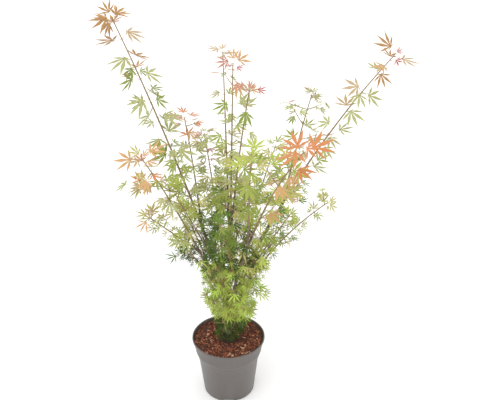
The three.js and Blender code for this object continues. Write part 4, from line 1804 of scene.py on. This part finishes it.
@dataclass
class MulchBed:
    """The moist mix in the pot, rising to its edge in lumps and crumbs, with bark chips strewn over it."""

    pot: PotSizes = POT
    sizes: SoilSizes = SOIL
    sides: int = 120
    rings: int = 36
    chip_rings: int = 16
    chip_edge: float = 3.6
    trunk_edge: float = 3
    edge_rise: float = 3
    edge_power: int = 4
    sunk: float = 0.8
    bumps: float = 2.2
    bump_share: float = 0.8
    lumps: float = 0.09
    lumps_layer: float = 3
    crumbs: float = 0.26
    crumbs_layer: float = 9
    crumb_share: float = 0.6
    chip_tilt: float = 0.75
    chip_scales: tuple[float, float] = (0.6, 1.25)
    sharp_from: float = 60
    chips: tuple[Chip, ...] = (
        Chip(13, 6, 2.4, 31),
        Chip(8, 5, 2, 32),
        Chip(17, 3.6, 1.8, 33),
        Chip(6, 4, 2, 34),
    )
    lots: tuple[ChipLot, ...] = (
        ChipLot("dark", "2c160e", "4e291b", "6f3b28", 13000.0, 3),
        ChipLot("red", "52281a", "8c472b", "b06341", 15000.0, 8),
        ChipLot("tan", "683925", "9c5f40", "bf855d", 5500.0, 15),
        ChipLot("pale", "99694a", "c69a77", "e3c2a0", 1500.0, 21),
    )

    def surface(self, x: float, y: float) -> float:
        """Returns the height of the mulch at a place."""
        edge = self.pot.wall_radius(self.sizes.level) - self.pot.wall
        rise = self.edge_rise * (math.hypot(x, y) / edge) ** self.edge_power
        lumps = noise.noise(Vector((x, y, self.lumps_layer)) * self.lumps)
        rough = lumps + self.crumb_share * noise.noise(Vector((x, y, self.crumbs_layer)) * self.crumbs)
        return self.sizes.level - self.sunk + rise + self.bumps * rough * self.bump_share

    def surface_ring(self, radius: float) -> list[Row]:
        """Returns the points of the surface at a distance from the axis."""
        return [(x, y, self.surface(x, y)) for x, y in ring(radius, self.sides)]

    def bed(self) -> Object:
        """Returns the closed body of the mulch."""
        gap = self.pot.wall + self.sizes.clearance
        base = self.pot.drain_height + self.sizes.clearance
        edge = self.pot.wall_radius(self.sizes.level) - gap
        points = [(0.0, 0.0, self.surface(0, 0))]
        for number in range(1, self.rings + 1):
            points += self.surface_ring(edge * number / self.rings)
        heights = (self.pot.height - self.pot.collar_depth, self.pot.height - self.pot.shoulder_depth, base)
        for height in heights:
            points += [(x, y, height) for x, y in ring(self.pot.wall_radius(height) - gap, self.sides)]
        points.append((0.0, 0.0, base))
        faces = Rings(self.rings + len(heights), self.sides, 1, True).closed(0, len(points) - 1)
        return mesh_object("mulch_bed", points, faces)

    def emitter(self, name: str) -> Object:
        """Returns the part of the surface that carries chips, as a sheet clear of the wall and the trunk."""
        inner = TRUNK.radius(0) + self.trunk_edge
        outer = self.pot.wall_radius(self.sizes.level) - self.pot.wall - self.chip_edge
        points = []
        for number in range(self.chip_rings + 1):
            points += self.surface_ring(mix(inner, outer, number / self.chip_rings))
        return mesh_object(name, points, Rings(self.chip_rings + 1, self.sides, 0, True).faces())

    def chip_tree(self) -> GeometryTree:
        """Returns the tree that strews chips from a shelf over a sheet."""
        kinds = {"Chips": "Collection", "Finish": "Material", "Density": "Float", "Seed": "Int"}
        made = GeometryTree("strewn_chips", kinds)
        graph, entry = made.graph, made.entry
        seed = entry.outputs["Seed"]
        inputs = {"Mesh": entry.outputs["Geometry"], "Density": entry.outputs["Density"], "Seed": seed}
        spots = graph.node("GeometryNodeDistributePointsOnFaces", {}, inputs)
        low, high = (-self.chip_tilt, -self.chip_tilt, 0.0), (self.chip_tilt, self.chip_tilt, math.tau)
        inputs = {"Min": low, "Max": high, "Seed": seed}
        turn = graph.node("FunctionNodeRandomValue", {"data_type": "FLOAT_VECTOR"}, inputs)
        euler = graph.node("FunctionNodeEulerToRotation", {}, {"Euler": turn.outputs[0]})
        smallest, largest = self.chip_scales
        inputs = {2: smallest, 3: largest, "Seed": seed}
        scale = graph.node("FunctionNodeRandomValue", {"data_type": "FLOAT"}, inputs)
        inputs = {"Points": spots.outputs["Points"], "Rotation": euler.outputs[0], "Scale": scale.outputs[1]}
        made.set_shapes("Chips", inputs)
        return made

    def keep_inside(self, piece: Object) -> None:
        """Presses chips that would cut the pot's wall against its inside."""
        for vertex in piece.data.vertices:
            height = vertex.co.z * PER_METRE
            reach = self.pot.wall_radius(height) - self.pot.wall - self.sizes.clearance
            radius = vertex.co.xy.length * PER_METRE
            if radius > reach:
                vertex.co.x *= reach / radius
                vertex.co.y *= reach / radius

    def build(self) -> None:
        """Builds and dresses the mulch and its chips."""
        bed = self.bed()
        smooth(bed, self.sharp_from)
        finish_piece(bed, mulch_finish(), ["bark_soil"])
        shelf = ShapeShelf("bark_chips")
        for number, chip in enumerate(self.chips):
            shelf.add(chip.build(f"chip_{number}"))
        tree = self.chip_tree()
        for lot in self.lots:
            material = chip_finish(f"chip_{lot.name}", lot.dark, lot.plain, lot.pale)
            piece = self.emitter(f"bark_chips_{lot.name}")
            values = {"Chips": shelf.collection, "Finish": material, "Density": lot.density, "Seed": lot.seed}
            tree.run(piece, values)
            self.keep_inside(piece)
            finish_piece(piece, material, ["bark_soil"])
        shelf.clear()


@dataclass
class Limbs:
    """The trunk and the boughs, with relief in their bark, ribs at the foot and swollen nodes and forks.

    The fissures' scales are for going round the limb, along it and from one limb to the next.
    """

    crown: Crown
    sides: int = 16
    ring_step: float = 3.5
    least_rings: int = 4
    fissures: float = 0.07
    fissure_scales: Row = (1.7, 0.05, 0.01)
    rib_swell: float = 0.16
    ribs: int = 5
    rib_turn: float = 0.6
    node_swell: float = 0.16
    node_length: float = 1.6
    fork_swell: float = 0.45
    fork_length: float = 7
    sunk: float = 2.5
    bough_end: float = 1.2
    bough_tip: float = 0.4
    trunk_tip: float = 3
    sharp_from: float = 50

    def radius(self, shoot: Shoot | None, share: float, length: float, angle: float, centre: Vector) -> float:
        """Works out the radius of a limb with its relief.

        Args:
            shoot: The bough's shoot, or None for the trunk.
            share: Share of the line's length.
            length: Length of the line.
            angle: Angle round the limb.
            centre: Point on the line.

        Returns:
            The radius in that direction.
        """
        place = share * length
        around, along, apart = self.fissure_scales
        spot = Vector((math.cos(angle) * around, math.sin(angle) * around, place * along))
        relief = 1 + self.fissures * noise.noise(spot + centre * apart)
        if shoot is None:
            fading = math.exp(-place / TRUNK.flare_height)
            swell = self.rib_swell * fading * math.cos(self.ribs * angle + self.rib_turn)
            return TRUNK.radius(share) * (relief + swell)
        node = (place / shoot.step) % 1
        relief += self.node_swell * math.exp(-(((node - 0.5) * shoot.step / self.node_length) ** 2))
        relief += self.fork_swell * math.exp(-place / self.fork_length)
        return shoot.radius(share) * relief

    def limb(self, shoot: Shoot | None, points: list[Vector], faces: list[Face]) -> None:
        """Adds one limb to the points and faces of the piece.

        Args:
            shoot: The bough's shoot, or None for the trunk, whose foot is sunk in the soil.
            points: Points so far.
            faces: Faces so far.
        """
        line = self.crown.trunk if shoot is None else shoot.line
        end = 1.0 if shoot is None else shoot.bare + self.bough_end / line.length
        rows = max(self.least_rings, round(line.length * end / self.ring_step))
        first = len(points)
        for row in range(rows + 1):
            share = end * row / rows
            _, side, over = line.frame(share)
            centre = line.at(share)
            if shoot is None and row == 0:
                centre.z -= self.sunk
            for k in range(self.sides):
                angle = -math.tau * k / self.sides
                radius = self.radius(shoot, share, line.length, angle, centre)
                points.append(centre + (side * math.cos(angle) + over * math.sin(angle)) * radius)
        foot = line.at(0)
        tip = line.at(end) + line.tangent(end) * (self.bough_tip if shoot else self.trunk_tip)
        if shoot is None:
            foot.z -= self.sunk
        points += [foot, tip]
        faces += Rings(rows + 1, self.sides, first, True).closed(len(points) - 2, len(points) - 1)

    def build(self) -> None:
        """Builds and dresses the trunk and all boughs."""
        points: list[Vector] = []
        faces: list[Face] = []
        self.limb(None, points, faces)
        boughs = [shoot for shoot in self.crown.shoots.values() if shoot.bare]
        for shoot in boughs:
            self.limb(shoot, points, faces)
        piece = mesh_object("trunk_and_boughs", points, faces)
        smooth(piece, self.sharp_from)
        finish_piece(piece, bark_finish(), ["trunk", *(f"bough_{shoot.name}" for shoot in boughs)])


@dataclass(frozen=True)
class LeafForm:
    """How one form of leaf holds its lobes: their fan, half width, curl and fold, and its seed."""

    name: str
    spread: float
    width: float
    curl: float
    fold: float
    seed: int


@dataclass
class LeafShape:
    """A thin closed leaf with a middle lobe of unit length along +X, its heart at the origin and its face up.

    Each lobe has an angle in degrees and a length, which chance changes a little. It is widest at `wide_at`,
    and slimmer at `slim_at` where it is longer than `long_from`.
    """

    form: LeafForm
    angles: Row = (-118, -78, -39, 0, 39, 78, 118)
    lengths: Row = (0.26, 0.68, 0.94, 1, 0.94, 0.68, 0.26)
    lobe_sway: float = 5
    length_spread: Spread = (0.94, 0.12)
    curl_spread: Spread = (0.9, 0.1)
    long_from: float = 0.5
    wide_at: float = 0.46
    slim_at: float = 0.76
    slim_share: float = 0.46
    spine: float = 0.46
    notch: float = 0.05
    notch_foot: float = 0.04
    outer_notch: float = 0.07
    outer_turn: float = 0.5
    thickness: float = 0.012
    sharp_from: float = 40

    def __post_init__(self) -> None:
        """Sets the heart, above and below, and lets chance turn and scale the lobes."""
        draw = Draws(self.form.seed)
        self.points = [Vector((0, 0, 0)), Vector((0, 0, -self.thickness))]
        self.tops: list[Face] = []
        self.lowers: list[Face] = []
        self.lobes: list[tuple[float, float]] = []
        for angle, length in zip(self.angles, self.lengths):
            turned = math.radians(angle * self.form.spread + self.lobe_sway * (draw() - 0.5))
            self.lobes.append((turned, length * draw.over(self.length_spread)))

    def put(self, turned: float, reach: float, offset: float = 0, length: float = 1) -> int:
        """Adds a point of the outline, bent by the leaf's curl and fold.

        Args:
            turned: Angle of its lobe or notch.
            reach: Distance from the heart along the lobe.
            offset: Distance to the left of the lobe's middle.
            length: Length of the lobe.

        Returns:
            Number of the point.
        """
        direction = Vector((math.cos(turned), math.sin(turned), 0))
        across = Vector((-direction.y, direction.x, 0))
        curl = self.form.curl * (self.curl_spread[0] + self.curl_spread[1] * length)
        angle = curl * reach
        out = math.sin(angle) / curl
        drop = (1 - math.cos(angle)) / curl + self.form.fold * abs(offset)
        self.points.append(direction * out + across * offset + Vector((0, 0, -drop)))
        return len(self.points) - 1

    def lobe(self, turned: float, length: float, before: int, notch: tuple[float, float]) -> int:
        """Adds one lobe between two notches.

        Args:
            turned: Angle of the lobe.
            length: Its length.
            before: Number of the notch before it.
            notch: Angle and reach of the notch after it.

        Returns:
            Number of the notch after it.
        """

        def edge(place: float, share: float) -> int:
            """Adds an outline point at a share of the lobe's length and of its half width."""
            return self.put(turned, place * length, share * (self.form.width * length), length)

        slim = (self.slim_share,) if length > self.long_from else ()
        right = [edge(self.wide_at, -1), *(edge(self.slim_at, -share) for share in slim)]
        tip = edge(1, 0)
        left = [*(edge(self.slim_at, share) for share in slim), edge(self.wide_at, 1)]
        spine = edge(self.spine, 0)
        under = len(self.points)
        self.points.append(self.points[spine] - Vector((0, 0, self.thickness)))
        after = self.put(*notch)
        for faces, heart, rib in ((self.tops, 0, spine), (self.lowers, 1, under)):
            faces.append((heart, before, right[0], rib))
            faces.append((rib, *right, tip))
            faces.append((rib, tip, *left))
            faces.append((heart, rib, left[-1], after))
        return after

    def build(self) -> Object:
        """Returns the leaf as an object, one unit of its mesh to the metre."""
        first = self.put(self.lobes[0][0] - self.outer_turn, self.outer_notch)
        last_notch = (self.lobes[-1][0] + self.outer_turn, self.outer_notch)
        notches = []
        for (turned, length), (following, reach) in zip(self.lobes, self.lobes[1:]):
            notches.append(((turned + following) / 2, self.notch * min(length, reach) + self.notch_foot))
        before = first
        for (turned, length), notch in zip(self.lobes, [*notches, last_notch]):
            before = self.lobe(turned, length, before, notch)
        self.tops.append((0, before, first))
        self.lowers.append((1, before, first))
        faces = [*self.tops, *(tuple(reversed(face)) for face in self.lowers)]
        shape = mesh_object(self.form.name, self.points, faces, scale=1)
        smooth(shape, self.sharp_from)
        return shape


@dataclass
class Foliage:
    """All leaves, stems, twigs and leaf stalks, joined by kind."""

    crown: Crown
    stem_sides: int = 8
    twig_sides: int = 5
    stalk_sides: int = 4
    sharp_from: float = 60
    forms: tuple[LeafForm, ...] = (
        LeafForm("leaf_0_spread", 0.94, 0.098, 0.2, 0.3, 5),
        LeafForm("leaf_1_broad", 1, 0.108, 0.12, 0.24, 6),
        LeafForm("leaf_2_drooping", 0.86, 0.096, 0.42, 0.34, 7),
        LeafForm("leaf_3_hanging", 0.7, 0.096, 0.6, 0.4, 8),
        LeafForm("leaf_4_young", 0.8, 0.086, 0.3, 0.5, 9),
        LeafForm("leaf_5_slender", 0.96, 0.072, 0.35, 0.4, 10),
    )

    def nodes(self) -> list[str]:
        """Returns the names of the masses that the foliage stands for."""
        return [f"leaves_{name}" for name in self.crown.shoots]

    @staticmethod
    def leaf_tree() -> GeometryTree:
        """Returns the tree that sets a leaf shape on each point by its turn, size and form."""
        made = GeometryTree("set_leaves", {"Leaf shapes": "Collection", "Finish": "Material"})
        euler = {"Euler": made.named("turn", "FLOAT_VECTOR")}
        turn = made.graph.node("FunctionNodeEulerToRotation", {}, euler)
        inputs = {
            "Points": made.entry.outputs["Geometry"],
            "Instance Index": made.named("form", "INT"),
            "Rotation": turn.outputs[0],
            "Scale": made.named("size", "FLOAT"),
        }
        made.set_shapes("Leaf shapes", inputs)
        return made

    @staticmethod
    def strand_tree() -> GeometryTree:
        """Returns the tree that makes round strands of the girth at each point."""
        made = GeometryTree("round_strands", {"Sides": "Int", "Finish": "Material"})
        graph, entry = made.graph, made.entry
        curve = graph.node("GeometryNodeMeshToCurve", {}, {"Mesh": entry.outputs["Geometry"]})
        inputs = {"Resolution": entry.outputs["Sides"], "Radius": 1.0}
        circle = graph.node("GeometryNodeCurvePrimitiveCircle", {}, inputs)
        inputs = {
            "Curve": curve.outputs[0],
            "Profile Curve": circle.outputs[0],
            "Scale": made.named("girth", "FLOAT"),
            "Fill Caps": True,
        }
        made.end(graph.node("GeometryNodeCurveToMesh", {}, inputs).outputs[0])
        return made

    def strands(self, name: str, strands: Sequence[Strand], sides: int, material: Material) -> None:
        """Makes one piece of many strands.

        Args:
            name: Name of the piece.
            strands: The strands to join.
            sides: Number of their sides.
            material: Their finish.
        """
        points: list[Vector] = []
        girths: list[float] = []
        edges: list[tuple[int, int]] = []
        for strand in strands:
            first = len(points)
            points += strand.points
            girths += strand.girths
            edges += [(first + i, first + i + 1) for i in range(len(strand.points) - 1)]
        piece = mesh_object(name, points, [], edges)
        mark(piece, "girth", "FLOAT", [girth * MM for girth in girths])
        self.strand_tree().run(piece, {"Sides": sides, "Finish": material})
        smooth(piece, self.sharp_from)
        finish_piece(piece, material, self.nodes())

    def leaves(self, tree: GeometryTree, shelf: ShapeShelf, tint: Tint) -> None:
        """Makes one piece of all leaves of a tint.

        Args:
            tree: The tree that sets leaves.
            shelf: Shelf of the leaf shapes.
            tint: The tint.
        """
        leaves = [leaf for leaf in self.crown.leaves if leaf.tint is tint]
        name = f"leaves_{tint.name.lower()}"
        piece = mesh_object(name, [leaf.blade.heart for leaf in leaves], [])
        turns = [angle for leaf in leaves for angle in leaf.blade.turn()]
        mark(piece, "turn", "FLOAT_VECTOR", turns, "vector")
        mark(piece, "size", "FLOAT", [leaf.blade.size * MM for leaf in leaves])
        mark(piece, "form", "INT", [leaf.form.value for leaf in leaves])
        material = plain_finish(name, tint.value, roughness=0.55, specular_ior_level=0.35)
        tree.run(piece, {"Leaf shapes": shelf.collection, "Finish": material})
        finish_piece(piece, material, self.nodes())

    def build(self) -> None:
        """Builds and dresses the stems, twigs, stalks and leaves."""
        stem_wood = plain_finish("young_wood", "86714c", roughness=0.6)
        twig_wood = plain_finish("twig_wood", "8f7f4a", roughness=0.6)
        stalk_skin = plain_finish("leaf_stalk", "a98457", roughness=0.55)
        self.strands("leafy_stems", self.crown.stems, self.stem_sides, stem_wood)
        self.strands("side_twigs", self.crown.twigs, self.twig_sides, twig_wood)
        self.strands("leaf_stalks", self.crown.stalks, self.stalk_sides, stalk_skin)
        shelf = ShapeShelf("leaf_shapes")
        for form in self.forms:
            shelf.add(LeafShape(form).build())
        tree = self.leaf_tree()
        for tint in Tint:
            self.leaves(tree, shelf, tint)
        shelf.clear()


@dataclass
class Studio:
    """Pale floor, soft light and the camera at the photograph's angle."""

    camera_place: Row = (0.0564, -1.4995, 1.2840)
    camera_pitch: float = 64.2
    lens: float = 50.4
    sensor: float = 36
    far_end: float = 60
    floor_span: float = 30
    floor_tone: str = "fbfbfb"
    world_strength: float = 1.24
    sun_strength: float = 0.5
    sun_breadth: float = 40
    sun_pitch: float = 38
    sun_turn: float = -28

    def floor(self) -> None:
        """Lays the floor."""
        half = self.floor_span / 2 / MM
        corners = [(-half, -half, 0), (half, -half, 0), (half, half, 0), (-half, half, 0)]
        plane = mesh_object("floor", corners, [(0, 1, 2, 3)])
        paper = Finish("floor_paper", self.floor_tone, roughness=0.9, specular_ior_level=0.1)
        plane.data.materials.append(paper.material)

    def light(self) -> None:
        """Sets the white surroundings and one broad key light from the upper left."""
        world = bpy.data.worlds.new("studio")
        world.use_nodes = True
        background = world.node_tree.nodes["Background"]
        background.inputs["Color"].default_value = (1, 1, 1, 1)
        background.inputs["Strength"].default_value = self.world_strength
        bpy.context.scene.world = world
        sun = bpy.data.lights.new("key_light", "SUN")
        sun.energy = self.sun_strength
        sun.angle = math.radians(self.sun_breadth)
        lamp = bpy.data.objects.new("key_light", sun)
        lamp.rotation_euler = (math.radians(self.sun_pitch), 0, math.radians(self.sun_turn))
        bpy.context.scene.collection.objects.link(lamp)

    def camera(self) -> None:
        """Sets the camera."""
        data = bpy.data.cameras.new("photo_camera")
        data.lens = self.lens
        data.sensor_width = self.sensor
        data.clip_end = self.far_end
        camera = bpy.data.objects.new("photo_camera", data)
        camera.location = self.camera_place
        camera.rotation_euler = (math.radians(self.camera_pitch), 0, 0)
        bpy.context.scene.collection.objects.link(camera)
        bpy.context.scene.camera = camera

    def build(self) -> None:
        """Builds the studio."""
        self.floor()
        self.light()
        self.camera()
        bpy.context.scene.view_settings.view_transform = "Standard"


def main() -> None:
    """Builds the studio, the pot, the mulch, the wood and the foliage in turn."""
    logging.basicConfig(level=logging.INFO, format="%(name)s: %(message)s")
    Studio().build()
    NurseryPot().build()
    MulchBed().build()
    crown = Crown(SHOOTS)
    crown.grow()
    LOG.info("%d leaves, %d twigs", len(crown.leaves), len(crown.twigs))
    Limbs(crown).build()
    Foliage(crown).build()


if __name__ == "__main__":
    main()
